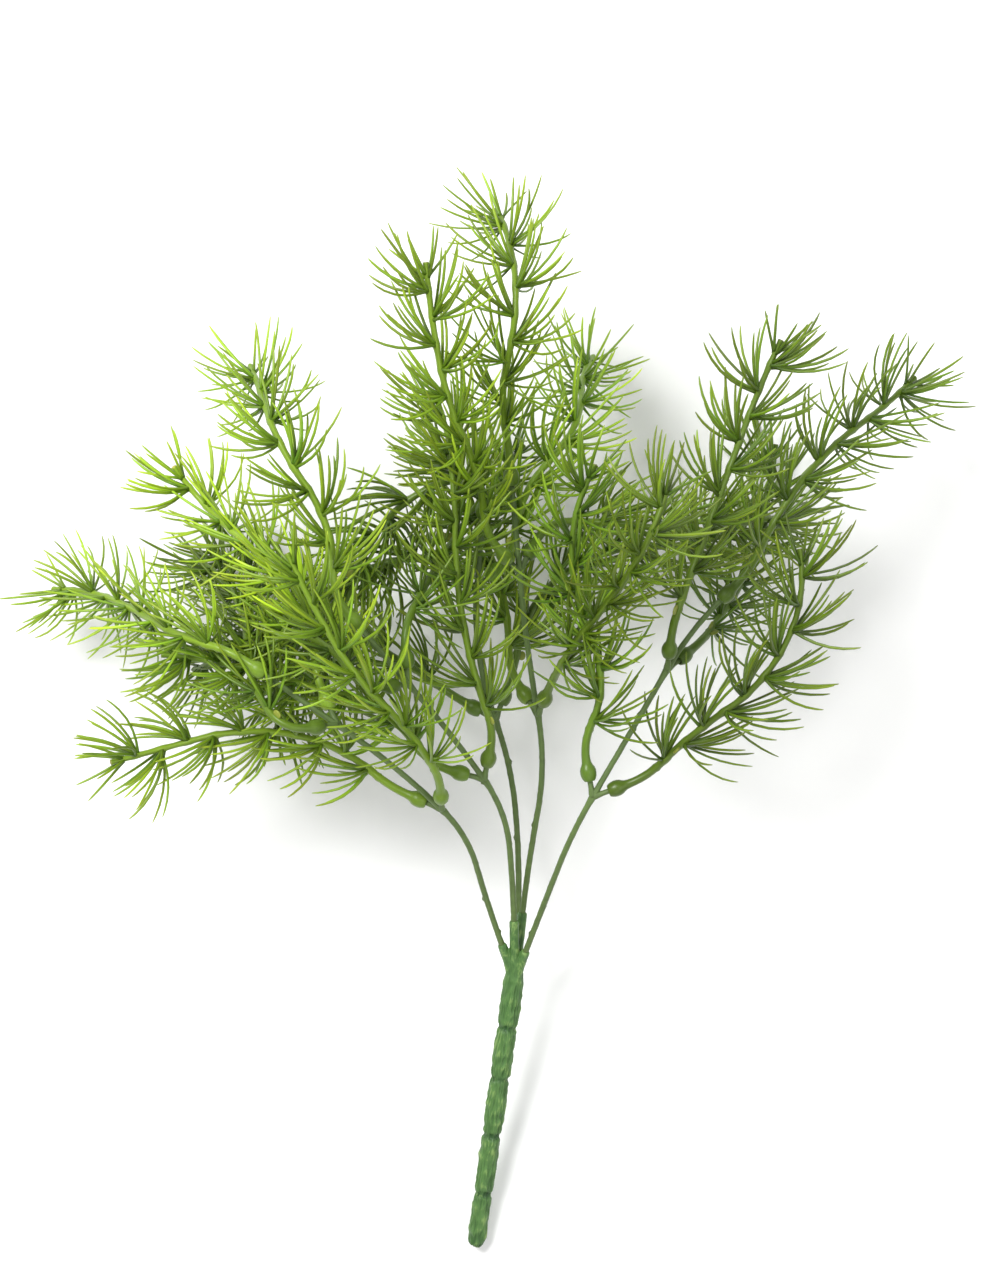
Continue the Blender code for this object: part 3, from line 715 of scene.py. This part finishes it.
@dataclass
class FernSprig:
    """One sprig: socket, neck, ridged stem with fans of needles, moulding tabs and cut tip."""

    name: str
    route: Route
    seed: int
    length: float
    warmth: float = 0.0
    # light scales all the sprig's colours: painted light and shade, brighter for sprigs that lie in the
    # light and darker for sprigs in the bunch's shade.
    light: float = 1.0
    socket_radius: float = 2.65 * MM
    neck_radius: float = 1.35 * MM
    stem_radius: float = 1.08 * MM
    tip_radius: float = 0.82 * MM
    first_fan: float = 22 * MM
    fan_pitch: float = 8.8 * MM
    fans: int = 10
    needle_length: float = 25 * MM
    needle_radius: float = 0.48 * MM
    stem_sides: int = 12
    station_pitch: float = 1.1 * MM
    tuft_back: float = 4.5 * MM
    fan_tab_chance: float = 0.05
    base_tab_chance: float = 0.4

    # Lengths in millimetres from the mouth and shares of the socket's radius: the hollow in the mouth,
    # its lip, the bulb and the start of the neck.
    SOCKET_PROFILE = (
        (1.4, 0.4), (1.2, 0.48), (0.5, 0.52), (0.0, 0.62), (0.12, 0.72), (0.7, 0.84), (1.5, 0.95),
        (2.6, 1.0), (3.6, 0.98), (4.5, 0.88), (5.2, 0.72), (6.0, 0.6), (7.2, 0.54),
    )  # fmt: skip
    STUB_PROFILE = ((1.6, 1.0), (0.9, 1.1), (0.3, 1.12), (0.05, 1.0), (0.0, 0.86))
    NECK_START, TIP_START = 9 * MM, 2 * MM
    BULB_END, BODY_START, CUT = 6 * MM, 20 * MM, 0.2 * MM
    COLLAR = (4.2 * MM, 0.16, 0.5 * MM)  # before the first fan: place, height and width
    KNOT = (0.24, 1.7 * MM)  # under each fan: height and width
    RIDGE_START, RIDGE_FULL = 8 * MM, 16 * MM
    RIDGES, RIDGE_HEIGHT, ROUGHNESS = 4, 0.09, 0.03
    # Tilt around the stem, and the splays of the needles that leave at it.
    FAN_ROWS = (
        (-58.0, (52.0, 84.0)),
        (-24.0, (33.0, 62.0, 94.0)),
        (8.0, (44.0, 78.0)),
        (34.0, (36.0, 66.0, 98.0)),
        (62.0, (46.0, 80.0)),
    )
    FAN_SPREAD = NeedleSpread(6.5, 7, (0.8, 1.04), (0.86, 1.1), 6, 0.46, 8, 9)
    TUFT_SPREAD = NeedleSpread(6, 12, (0.5, 0.72), (0.86, 1.0), 8, 0.0, 8, 6)
    TUFT = ((-50.0, 34.0), (-5.0, 42.0), (45.0, 30.0), (130.0, 36.0), (180.0, 44.0), (235.0, 32.0))
    # Turns and shortenings that are tried in order where a needle would run into another piece.
    DETOURS = (
        (0, 0, 1.0), (-14, 0, 1.0), (12, 0, 1.0), (0, 20, 1.0), (0, -20, 1.0),
        (-20, 15, 0.85), (0, 0, 0.7), (0, 25, 0.6), (0, 0, 0.45),
    )  # fmt: skip
    GAP_SHARE = 0.9
    ROOT_JITTER = 0.9  # millimetres
    ROOT_SHARE = 0.55
    # Darkens the colour at each needle's root: painted shade where the needles crowd at the stem.
    ROOT_PAINTED_SHADE = 0.72
    BODY_FROM, TIP_FROM = 0.5, 0.7
    TONE_SPREAD, YELLOW_SPREAD = 0.2, 0.05
    WARM = np.array([0.28, 0.06, -0.3])  # what a warmth of 1 adds to red, green and blue
    SEED_STEP = 0.01
    # Tabs: sizes in millimetres, and sections as shares of the size and heights in millimetres.
    TAB_SIZES = (1.2, 1.75)
    TAB_SECTIONS = ((0.8, -0.3), (0.96, -0.2), (1.0, 0.0), (0.96, 0.2), (0.8, 0.3))
    TAB_SIDES = 14
    TAB_STRETCH = 1.15

    def __post_init__(self) -> None:
        """Sets up the sprig's own random draws and its colours."""
        self.draw = np.random.default_rng(self.seed)
        palette = Palette()
        warm = 1 + self.WARM * self.warmth
        parts = ("needle_root", "needle_body", "needle_tip", "sprig_stem", "socket", "stub", "tab")
        # Every colour is scaled by the sprig's light factor, which is painted light and shade.
        self.colours = {part: linear(getattr(palette, part)) * warm * self.light for part in parts}

    def profile(self) -> tuple[Vec, Vec]:
        """Lengths along the stem and radii there, denser where the shape turns."""
        along = [place * MM for place, _ in self.SOCKET_PROFILE]
        radii = [share * self.socket_radius for _, share in self.SOCKET_PROFILE]
        collar_back, collar_height, collar_width = self.COLLAR
        for place in np.arange(self.NECK_START, self.length - self.TIP_START, self.station_pitch):
            slim = ramp(place, self.NECK_START, self.first_fan)
            far = ramp(place, self.first_fan, self.length)
            radius = self.neck_radius + slim * (self.stem_radius - self.neck_radius)
            radius += far * (self.tip_radius - self.stem_radius)
            radius *= 1 + collar_height * swell(place - self.first_fan + collar_back, collar_width)
            for fan in range(self.fans):
                centre = self.first_fan + fan * self.fan_pitch
                radius *= 1 + self.KNOT[0] * swell(place - centre, self.KNOT[1])
            along.append(float(place))
            radii.append(radius)
        for back, share in self.STUB_PROFILE:
            along.append(self.length - back * MM)
            radii.append(self.tip_radius * share)
        return np.array(along), np.array(radii)

    def add_stem(self, moulding: Moulding) -> None:
        """Adds the socket, neck and ridged stem as one tube."""
        along, radii = self.profile()
        turn = turns(self.stem_sides)
        rings, tints = [], []
        for place, radius in zip(along, radii):
            ridge = ramp(place, self.RIDGE_START, self.RIDGE_FULL)
            wobble = 1 + self.RIDGE_HEIGHT * ridge * np.cos(self.RIDGES * turn)
            wobble = wobble + self.ROUGHNESS * ridge * self.draw.normal(size=turn.size)
            rings.append(self.route.section(place, radius * wobble))
            body = ramp(place, self.BULB_END, self.BODY_START)
            tint = self.colours["socket"] * (1 - body) + self.colours["sprig_stem"] * body
            if place > self.length - self.CUT:
                tint = self.colours["stub"]
            tints.append(tint)
        moulding.add_tube(np.array(rings), np.array(tints), along, self.seed * self.SEED_STEP)

    def drawn_needle(self, tilt: float, splay: float, spread: NeedleSpread) -> Needle:
        """Draws one needle.

        Args:
            tilt: its usual angle around the stem.
            splay: its usual angle off the stem.
            spread: how far it may vary.

        Returns:
            The needle.
        """
        draw = self.draw
        return Needle(
            splay=splay + spread.splay * draw.normal(),
            tilt=tilt + spread.tilt * draw.normal(),
            length=self.needle_length * draw.uniform(*spread.lengths),
            radius=self.needle_radius * draw.uniform(*spread.radii),
            curl=spread.curl_base + spread.curl_share * splay + spread.curl * draw.normal(),
            sway=spread.sway * draw.normal(),
        )

    def add_needle(
        self, moulding: Moulding, needle: Needle, along: float, side: int, room: Clearance
    ) -> bool:
        """Adds one needle where it runs clear of other pieces.

        Args:
            moulding: what the needle is added to.
            needle: its shape.
            along: length on the stem at which it leaves.
            side: 1 for right and -1 for left.
            room: the rods that it has to miss.

        Returns:
            Whether there was room for it.
        """
        place = along + self.draw.uniform(-self.ROOT_JITTER, self.ROOT_JITTER) * MM
        centre, tangent = self.route.at(place)
        right, over = self.route.axes(tangent)
        out = math.cos(math.radians(needle.tilt)) * side * right
        out = out + math.sin(math.radians(needle.tilt)) * over
        root = centre + out * self.stem_radius * self.ROOT_SHARE
        first = needle.splay, needle.tilt, needle.length
        for bend, roll, share in self.DETOURS:
            needle.splay, needle.tilt = first[0] + bend, first[1] + roll
            needle.length = first[2] * share
            line = needle.line(root, (tangent, right, over), side)
            if room.gap(self.name, line[2:]) > needle.radius * self.GAP_SHARE:
                break
        else:
            return False
        # Darker towards the root, as painted shade where the needles crowd at the stem, then lighter
        # towards the tip colour.
        shares = np.array(Needle.STATIONS)[:, None]
        mix = np.clip(shares / self.BODY_FROM, 0, 1)
        tints = self.colours["needle_root"] * self.ROOT_PAINTED_SHADE * (1 - mix)
        tints = tints + self.colours["needle_body"] * mix
        end = np.clip((shares - self.TIP_FROM) / (1 - self.TIP_FROM), 0, 1)
        tints = tints * (1 - end) + self.colours["needle_tip"] * end
        tone = math.exp(self.TONE_SPREAD * self.draw.normal())
        yellow = self.YELLOW_SPREAD * self.draw.normal()
        tints = tints * tone * np.array([1 + yellow, 1.0, 1 - yellow])
        spots = shares[:, 0] * needle.length
        moulding.add_tube(needle.rings(line, over), tints, spots, self.draw.uniform(0, 1))
        return True

    def add_tab(self, moulding: Moulding, along: float, angle: float) -> None:
        """Adds a small flat moulding tab on the stem.

        Args:
            moulding: what the tab is added to.
            along: length on the stem.
            angle: degrees around the stem.
        """
        centre, tangent = self.route.at(along)
        right, over = side_axes(tangent)
        out = math.cos(math.radians(angle)) * right + math.sin(math.radians(angle)) * over
        flat = np.cross(tangent, out)
        size = self.draw.uniform(*self.TAB_SIZES) * MM
        middle = centre + out * (self.stem_radius + size * self.ROOT_SHARE)
        turn = turns(self.TAB_SIDES)
        outline = np.outer(np.cos(turn), out) + np.outer(np.sin(turn), tangent) * self.TAB_STRETCH
        rings = []
        for share, height in self.TAB_SECTIONS:
            rings.append(middle + outline * size * share + flat * height * MM)
        tints = np.repeat(self.colours["tab"][None], len(rings), axis=0)
        moulding.add_tube(np.array(rings), tints, np.linspace(0, MM, len(rings)), along)

    def build(self, room: Clearance) -> bpy.types.Object:
        """Builds the sprig.

        Args:
            room: the rods of the other pieces.

        Returns:
            The sprig as one object.
        """
        moulding = Moulding(f"fern_sprig_{self.name}")
        self.add_stem(moulding)
        grown = 0
        for fan in range(self.fans):
            side = 1 if fan % 2 == 0 else -1
            along = self.first_fan + fan * self.fan_pitch
            rows = [(tilt, splay) for tilt, splays in self.FAN_ROWS for splay in splays]
            for needle in [self.drawn_needle(*row, self.FAN_SPREAD) for row in rows]:
                grown += self.add_needle(moulding, needle, along, side, room)
            if self.draw.random() < self.fan_tab_chance:
                self.add_tab(moulding, along - 3 * MM, self.draw.uniform(0, 360))
        for needle in [self.drawn_needle(*row, self.TUFT_SPREAD) for row in self.TUFT]:
            grown += self.add_needle(moulding, needle, self.length - self.tuft_back, 1, room)
        if self.draw.random() < self.base_tab_chance:
            self.add_tab(moulding, self.first_fan - 4.5 * MM, self.draw.uniform(0, 360))
        made = moulding.finished(MATERIALS[Finish.SPRIG])
        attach(made, "root")
        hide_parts(f"sprig_{self.name}")
        LOG.info("sprig %s: %d needles", self.name, grown)
        return made


@dataclass
class ForkedStem:
    """One stem: a shank with two forks, a pair of pegs on each, and a pin on its end."""

    number: int
    layout: BunchLayout
    radius: float = 0.97 * MM
    tip_radius: float = 0.85 * MM
    peg_radius: float = 0.9 * MM
    root: float = 8 * MM
    peg_depth: float = 3.0 * MM
    burr_share: float = 0.035
    sides: int = 14
    station_pitch: float = 1.2 * MM

    PIN_REACH, PIN_SHARE = 3.4 * MM, 0.8
    KNEE = (0.3, 2.4 * MM)  # at each fork: height and width
    UNEVEN, OVAL, BURR_HEIGHT = 0.035, 0.05, 0.55
    TONE_SPREAD = 0.05
    FIRST_SEED = 700
    # Lengths in millimetres from the stem's middle and shares of the peg's radius.
    PEG_PROFILE = (
        (0.0, 1.35), (0.9, 1.34), (1.8, 1.22), (2.7, 1.08), (3.6, 1.0), (4.6, 1.0), (6.2, 1.0)
    )  # fmt: skip
    PEG_END_SHARE = 0.9

    def add_shank(self, moulding: Moulding, draw: np.random.Generator) -> None:
        """Adds the stem's own tube, a little uneven and swollen at the forks."""
        route = self.layout.stem_route(self.number)
        total = self.layout.stem_length(self.number)
        shank = self.layout.shanks[self.number]
        end = total + self.PIN_REACH
        along = np.append(np.arange(self.root, end - MM, self.station_pitch), end)
        turn = turns(self.sides)
        rings = []
        for place in along:
            radius = self.radius + (self.tip_radius - self.radius) * place / total
            for fork in (shank, shank + self.layout.fork_pitch):
                radius *= 1 + self.KNEE[0] * swell(place - fork, self.KNEE[1])
            if place > total:
                radius *= self.PIN_SHARE
            wobble = 1 + self.UNEVEN * draw.normal(size=turn.size) + self.OVAL * np.cos(2 * turn)
            if draw.random() < self.burr_share:
                wobble[draw.integers(self.sides)] += self.BURR_HEIGHT
            rings.append(route.section(float(place), radius * wobble))
        tint = linear(Palette().stem) * (1 + self.TONE_SPREAD * draw.normal(size=(along.size, 1)))
        moulding.add_tube(np.array(rings), tint, along, self.number * 0.1)

    def add_peg(self, moulding: Moulding, along: float, aim: Vec) -> None:
        """Adds one peg from the fork into its socket.

        Args:
            moulding: what the peg is added to.
            along: length on the stem.
            aim: the peg's direction.
        """
        start = self.layout.stem_route(self.number).at(along)[0]
        outline = ring_about(aim, self.sides)
        reach = self.layout.peg_standoff + self.peg_depth
        stops = np.array([stop * MM for stop, _ in self.PEG_PROFILE] + [reach])
        shares = np.array([share for _, share in self.PEG_PROFILE] + [self.PEG_END_SHARE])
        rings = [start + aim * s + outline * self.peg_radius * k for s, k in zip(stops, shares)]
        tints = np.repeat(linear(Palette().stem)[None], stops.size, axis=0)
        moulding.add_tube(np.array(rings), tints, stops, along)

    def build(self) -> bpy.types.Object:
        """Builds the stem as one object."""
        draw = np.random.default_rng(self.FIRST_SEED + self.number)
        moulding = Moulding(f"forked_stem_{self.number}")
        self.add_shank(moulding, draw)
        for _, along, aim in self.layout.pegs(self.number):
            self.add_peg(moulding, along, aim)
        made = moulding.finished(MATERIALS[Finish.STEM])
        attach(made, "root")
        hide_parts(f"stem_{self.number}")
        LOG.info("stem %d", self.number)
        return made


@dataclass
class SegmentedHandle:
    """The handle: five bark-like bulges, and a sleeve on top for each stem."""

    layout: BunchLayout
    bulge_lengths: tuple = (19 * MM, 21 * MM, 20 * MM, 18 * MM, 13 * MM)
    bulge_radii: tuple = (3.1 * MM, 3.2 * MM, 3.3 * MM, 3.45 * MM, 3.5 * MM)
    waist_radii: tuple = (2.35 * MM, 2.5 * MM, 2.65 * MM, 2.7 * MM)
    sleeve_heights: dict = field(
        default_factory=lambda: {1: 18 * MM, 2: 27 * MM, 3: 26 * MM, 4: 28 * MM, 5: 16 * MM}
    )
    sleeve_radius: float = 1.6 * MM
    sleeve_root: float = 9 * MM
    voxel: float = 0.26 * MM
    wrinkle: float = 0.24 * MM
    sides: int = 28
    stations: int = 260
    sleeve_sides: int = 16
    sleeve_stations: int = 24

    # Lengths in millimetres and shares of the nearest bulge's radius.
    TIP_PROFILE = ((0.0, 0.3), (0.25, 0.55), (0.9, 0.76), (2.0, 0.88))
    TOP_PROFILE = ((0.0, 0.98), (3.0, 0.94), (6.0, 0.84), (8.0, 0.6))
    # Shares of a bulge's length and of its radius.
    BELLY_PROFILE = ((0.3, 0.985), (0.6, 1.0), (0.8, 0.985))
    LIP, LIP_SHARE = 0.8 * MM, 0.8
    BELLY_BACK, TOP_BACK = 9 * MM, 2 * MM
    SMOOTH_RUN, SMOOTH_LEAST = 14 * MM, 0.25
    GROOVE_DEPTH, GROOVE_SHARE, HOLLOW_SHARE = 0.9 * MM, 0.8, 0.45
    CREST_FROM, CREST_GAIN, CREST_SHARE = 0.55, 1.8, 0.8
    TIP_SPOT, TIP_SPOT_SHIFT = 0.9 * MM, 0.4 * MM
    # Each size of wrinkle: waves per metre around and along the handle, and its share of the height.
    KNOBS = (300, 380, 1.5)
    FURROWS = (700, 130, 0.9)
    RIDGES = (1300, 200, 1.1)
    SPECKS = (2600, 500, 0.35)
    RIDGE_BASE, RIDGE_SHARPNESS, RIDGE_OFFSET = 0.5, 2.4, 7

    def outline(self) -> tuple[Vec, Vec]:
        """Lengths up the handle and radii there."""
        along = [place * MM for place, _ in self.TIP_PROFILE]
        radii = [self.bulge_radii[0] * share for _, share in self.TIP_PROFILE]
        base = 0.0
        for index, (length, belly) in enumerate(zip(self.bulge_lengths, self.bulge_radii)):
            along += [base + length * place for place, _ in self.BELLY_PROFILE]
            radii += [belly * share for _, share in self.BELLY_PROFILE]
            base += length
            if index < len(self.waist_radii):
                waist = self.waist_radii[index]
                above = self.bulge_radii[index + 1]
                along += [base - 1.3 * MM, base - 0.5 * MM, base, base + 0.5 * MM, base + 1.4 * MM]
                radii += [belly * 0.96, waist * 1.06, waist, waist * 1.04, above * 0.93]
        along += [base + place * MM for place, _ in self.TOP_PROFILE]
        radii += [self.bulge_radii[-1] * share for _, share in self.TOP_PROFILE]
        return np.array(along), np.array(radii)

    def add_body(self, moulding: Moulding) -> None:
        """Adds the turned body."""
        tip, axis = self.layout.handle_axis()
        outline = ring_about(axis, self.sides)
        marks, radii = self.outline()
        along = np.linspace(0, marks[-1], self.stations)
        rings = [tip + axis * s + outline * np.interp(s, marks, radii) for s in along]
        moulding.add_tube(np.array(rings), np.ones((along.size, 3)), along)

    def add_sleeve(self, moulding: Moulding, number: int) -> None:
        """Adds the sleeve of one stem."""
        route = self.layout.stem_route(number)
        height = self.sleeve_heights[number]
        along = np.linspace(-self.sleeve_root, height - self.LIP, self.sleeve_stations)
        radii = np.full(self.sleeve_stations, self.sleeve_radius)
        along, radii = np.append(along, height), np.append(radii, self.sleeve_radius * self.LIP_SHARE)
        rings = [route.section(float(s), np.full(self.sleeve_sides, r)) for s, r in zip(along, radii)]
        moulding.add_tube(np.array(rings), np.ones((along.size, 3)), along)

    def fused(self, rough: bpy.types.Object) -> bpy.types.Mesh:
        """Joins the overlapping shells into one smooth skin.

        Args:
            rough: object with the overlapping shells.

        Returns:
            The joined mesh.
        """
        remesh = rough.modifiers.new("fuse", "REMESH")
        remesh.mode = "VOXEL"
        remesh.voxel_size = self.voxel
        smooth = rough.modifiers.new("soften", "SMOOTH")
        smooth.factor = 0.5
        smooth.iterations = 3
        graph = bpy.context.evaluated_depsgraph_get()
        mesh = bpy.data.meshes.new_from_object(rough.evaluated_get(graph))
        bpy.data.objects.remove(rough)
        return mesh

    def wrinkled(self, mesh: bpy.types.Mesh) -> None:
        """Raises bark-like wrinkles, paints shade darker into the grooves and hollows, and paints
        highlights lighter on the crests.

        Args:
            mesh: the fused skin, changed in place.
        """
        tip, axis = self.layout.handle_axis()
        right, over = side_axes(axis)
        places = np.array([point.co[:] for point in mesh.vertices])
        normals = np.array([normal.vector[:] for normal in mesh.vertex_normals])
        along = (places - tip) @ axis
        out = places - tip - np.outer(along, axis)
        turn = np.arctan2(out @ over, out @ right)
        reach = np.linalg.norm(out, axis=1)
        spots = zip(along, np.cos(turn) * reach, np.sin(turn) * reach)
        heights = np.array([self.bark(*spot) for spot in spots])
        past = (along - self.layout.handle_length) / self.SMOOTH_RUN
        fade = np.clip(1 - past, self.SMOOTH_LEAST, 1)
        places = places + normals * (heights * fade * self.wrinkle)[:, None]
        mesh.vertices.foreach_set("co", places.ravel())
        # Painted shade: the waists between the bulges and the hollows of the wrinkles are painted
        # darker.
        marks, radii = self.outline()
        full = np.interp(along, np.cumsum(self.bulge_lengths) - self.BELLY_BACK, self.bulge_radii)
        depth = np.clip((full - np.interp(along, marks, radii)) / self.GROOVE_DEPTH, 0, 1)
        depth = np.where(along > self.layout.handle_length - self.TOP_BACK, 0, depth)
        palette = Palette()
        hollow = np.clip(-heights, 0, 1)
        groove = np.clip(depth * self.GROOVE_SHARE + hollow * self.HOLLOW_SHARE, 0, 1)[:, None]
        tint = linear(palette.handle) * (1 - groove) + linear(palette.handle_groove_painted_shade) * groove
        # Painted highlight: the raised crests of the wrinkles are painted lighter.
        crest = np.clip((heights - self.CREST_FROM) * self.CREST_GAIN, 0, 1)[:, None]
        crest = crest * self.CREST_SHARE
        tint = tint * (1 - crest) + linear(palette.handle_crest_painted_highlight) * crest
        mark = tip + (over - axis) * self.TIP_SPOT_SHIFT
        spot = np.linalg.norm(places - mark, axis=1) < self.TIP_SPOT
        tint[spot] = linear(palette.handle_tip)
        paint(mesh, tint, np.stack([np.cos(turn) * reach, np.sin(turn) * reach, along], axis=1))

    def bark(self, along: float, across: float, over: float) -> float:
        """Height of the bark's wrinkles at a place on the skin, about -1 to 1.

        Args:
            along: length up the handle.
            across: distance to the right of its axis.
            over: distance over its axis.

        Returns:
            The height.
        """

        def wave(size: tuple, offset: float = 0.0) -> float:
            """One size of wrinkle at the place."""
            return noise.noise(Vector((across * size[0], over * size[0], along * size[1] + offset)))

        ridge = self.RIDGE_BASE - self.RIDGE_SHARPNESS * abs(wave(self.RIDGES, self.RIDGE_OFFSET))
        height = self.KNOBS[2] * wave(self.KNOBS) + self.FURROWS[2] * wave(self.FURROWS)
        return height + self.RIDGES[2] * ridge + self.SPECKS[2] * wave(self.SPECKS)

    def build(self) -> bpy.types.Object:
        """Builds the handle as one object."""
        moulding = Moulding("handle_shells")
        self.add_body(moulding)
        for number in self.sleeve_heights:
            self.add_sleeve(moulding, number)
        rough = moulding.finished(MATERIALS[Finish.HANDLE])
        mesh = self.fused(rough)
        mesh.name = "segmented_handle"
        self.wrinkled(mesh)
        mesh.shade_smooth()
        mesh.materials.clear()
        mesh.materials.append(MATERIALS[Finish.HANDLE])
        made = linked("segmented_handle", mesh)
        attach(made, "root")
        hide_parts("handle")
        LOG.info("handle: %d points", len(mesh.vertices))
        return made


@dataclass
class StemWires:
    """The steel wires inside the stems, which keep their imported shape."""

    numbers: tuple = (1, 2, 3, 4, 5)

    def dress(self) -> None:
        """Gives each wire its steel."""
        for number in self.numbers:
            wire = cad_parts[f"wire_{number}"]
            wire.data.materials.clear()
            wire.data.materials.append(MATERIALS[Finish.WIRE])
            LOG.info("wire %d", number)


@dataclass
class FernBunch:
    """The whole bunch: handle, stems, wires and sprigs."""

    layout: BunchLayout = field(default_factory=BunchLayout)
    # Each sprig's warmth, and its light: a brightness factor on all its colours that is painted light
    # and shade, higher for sprigs in the light and lower for sprigs in the bunch's shade.
    looks: ClassVar[dict] = {
        "1a": (0.25, 1.08), "1b": (0.35, 1.05), "1c": (0.1, 0.75),
        "1d": (0.45, 1.55), "1e": (0.35, 1.28),
        "2a": (0.1, 1.02), "2b": (0.2, 0.72), "2c": (0.1, 0.74),
        "2d": (-0.1, 0.7), "2e": (0.25, 1.16),
        "3a": (0.0, 0.72), "3b": (0.0, 0.65), "3c": (0.0, 0.7),
        "3d": (0.1, 1.42), "3e": (0.0, 0.72),
        "4a": (0.35, 1.0), "4b": (0.3, 0.68), "4c": (0.3, 1.08),
        "4d": (0.1, 0.68), "4e": (0.25, 0.98),
        "5a": (-0.1, 0.84), "5b": (0.2, 0.56), "5c": (0.1, 0.66),
        "5d": (-0.1, 0.66), "5e": (0.1, 0.72),
    }  # fmt: skip

    FIRST_SEED = 11
    # A sprig's rods in millimetres: where each starts, and its radius.
    SPRIG_STOPS = (0, 2, 5.5, 8, 14, 20, 30, 40, 50, 60, 70, 80, 90, 100, 110)
    SPRIG_RADII = (2.8, 3.1, 2.6, 2.0, 1.8) + (1.6,) * 9
    STEM_PITCH, STEM_RADIUS = 6 * MM, 1.3 * MM

    def rods(self, routes: dict[str, Route]) -> Clearance:
        """The stems and sprigs as rods for the needles to miss.

        Args:
            routes: every sprig's route.

        Returns:
            The rods.
        """
        stops, radii = np.array(self.SPRIG_STOPS) * MM, np.array(self.SPRIG_RADII) * MM
        pieces = {name: (route, stops, radii) for name, route in routes.items()}
        for number in self.layout.shanks:
            stops = np.arange(0, self.layout.stem_length(number), self.STEM_PITCH)
            radii = np.full(stops.size, self.STEM_RADIUS)
            pieces[f"stem_{number}"] = (self.layout.stem_route(number), stops, radii)
        return Clearance(pieces)

    def build(self) -> None:
        """Builds every piece in order."""
        routes = self.layout.sprig_routes()
        room = self.rods(routes)
        SegmentedHandle(self.layout).build()
        for number in self.layout.shanks:
            ForkedStem(number, self.layout).build()
        StemWires().dress()
        for index, (name, route) in enumerate(routes.items()):
            seed, length = self.FIRST_SEED + index, self.layout.sprig_length
            FernSprig(name, route, seed, length, *self.looks[name]).build(room)


@dataclass
class Studio:
    """Pale table, soft lights and the camera that looks down on the bunch."""

    layout: BunchLayout
    table_size: float = 6.0
    camera_height: float = 1.6
    camera_x: float = 8.2 * MM
    camera_y: float = 206.07 * MM
    lens: float = 134.2
    table_colour: tuple = (0.92, 0.92, 0.915)
    table_roughness: float = 0.75
    cloud_scale: float = 3.0
    cloud_gain: float = 1.02
    aim: tuple = (0, 0.03, 0.04)
    room_light: float = 0.4

    # Name, place, edge and power in watts of each soft box.
    SOFT_BOXES = (
        ("key_box", (-0.75, 0.75, 1.5), 0.7, 40),
        ("fill_box", (0.9, -0.2, 1.3), 1.2, 9),
        ("back_box", (0.1, -1.1, 0.9), 1.0, 4),
    )

    def add_table(self) -> None:
        """Adds the table with its faintly uneven matt finish."""
        half = self.table_size / 2
        corners = [(-half, -half, 0), (half, -half, 0), (half, half, 0), (-half, half, 0)]
        mesh = bpy.data.meshes.new("table_top")
        mesh.from_pydata(corners, [], [(0, 1, 2, 3)])
        bench = ShaderBench("pale_table")
        cloud = bench.add("TexNoise", Vector=bench.add("TexCoord", "Object"), Scale=self.cloud_scale)
        dull = (*self.table_colour, 1)
        pale = (*[value * self.cloud_gain for value in self.table_colour], 1)
        tones = bench.add("Mix", "Result", data_type="RGBA", Factor=cloud, A=dull, B=pale)
        bench.fill(bench.shader, Roughness=self.table_roughness, Base_Color=tones)
        mesh.materials.append(bench.made)
        table = linked("table_top", mesh)

    def add_light(self, name: str, place: tuple, size: float, power: float) -> None:
        """Adds a soft box aimed at the bunch.

        Args:
            name: the light's name.
            place: where it hangs, in metres.
            size: edge of the square box.
            power: its power in watts.
        """
        light = bpy.data.lights.new(name, "AREA")
        light.size = size
        light.energy = power
        lamp = linked(name, light)
        lamp.location = place
        lamp.rotation_mode = "QUATERNION"
        lamp.rotation_quaternion = (Vector(self.aim) - Vector(place)).to_track_quat("-Z", "Y")

    def add_surroundings(self) -> None:
        """Adds the pale room that fills the shadows."""
        world = bpy.data.worlds.new("pale_room")
        world.use_nodes = True
        shade = world.node_tree.nodes["Background"]
        shade.inputs["Color"].default_value = (1.0, 1.0, 1.0, 1.0)
        shade.inputs["Strength"].default_value = self.room_light
        bpy.context.scene.world = world

    def add_camera(self) -> None:
        """Adds the camera, which looks straight down."""
        data = bpy.data.cameras.new("camera")
        data.lens = self.lens
        data.clip_end = 50
        camera = linked("camera", data)
        x, y, z = self.layout.shift
        camera.location = (x + self.camera_x, y + self.camera_y, z + self.camera_height)
        bpy.context.scene.camera = camera

    def build(self) -> None:
        """Builds the studio."""
        self.add_table()
        for box in self.SOFT_BOXES:
            self.add_light(*box)
        self.add_surroundings()
        self.add_camera()
        bpy.context.scene.view_settings.view_transform = "Standard"
        LOG.info("studio")


def main() -> None:
    """Builds the bunch and its studio."""
    logging.basicConfig(level=logging.INFO, format="%(message)s")
    bunch = FernBunch()
    bunch.build()
    Studio(bunch.layout).build()


MATERIALS = {finish: finish.value.material() for finish in Finish}

if __name__ == "__main__":
    main()
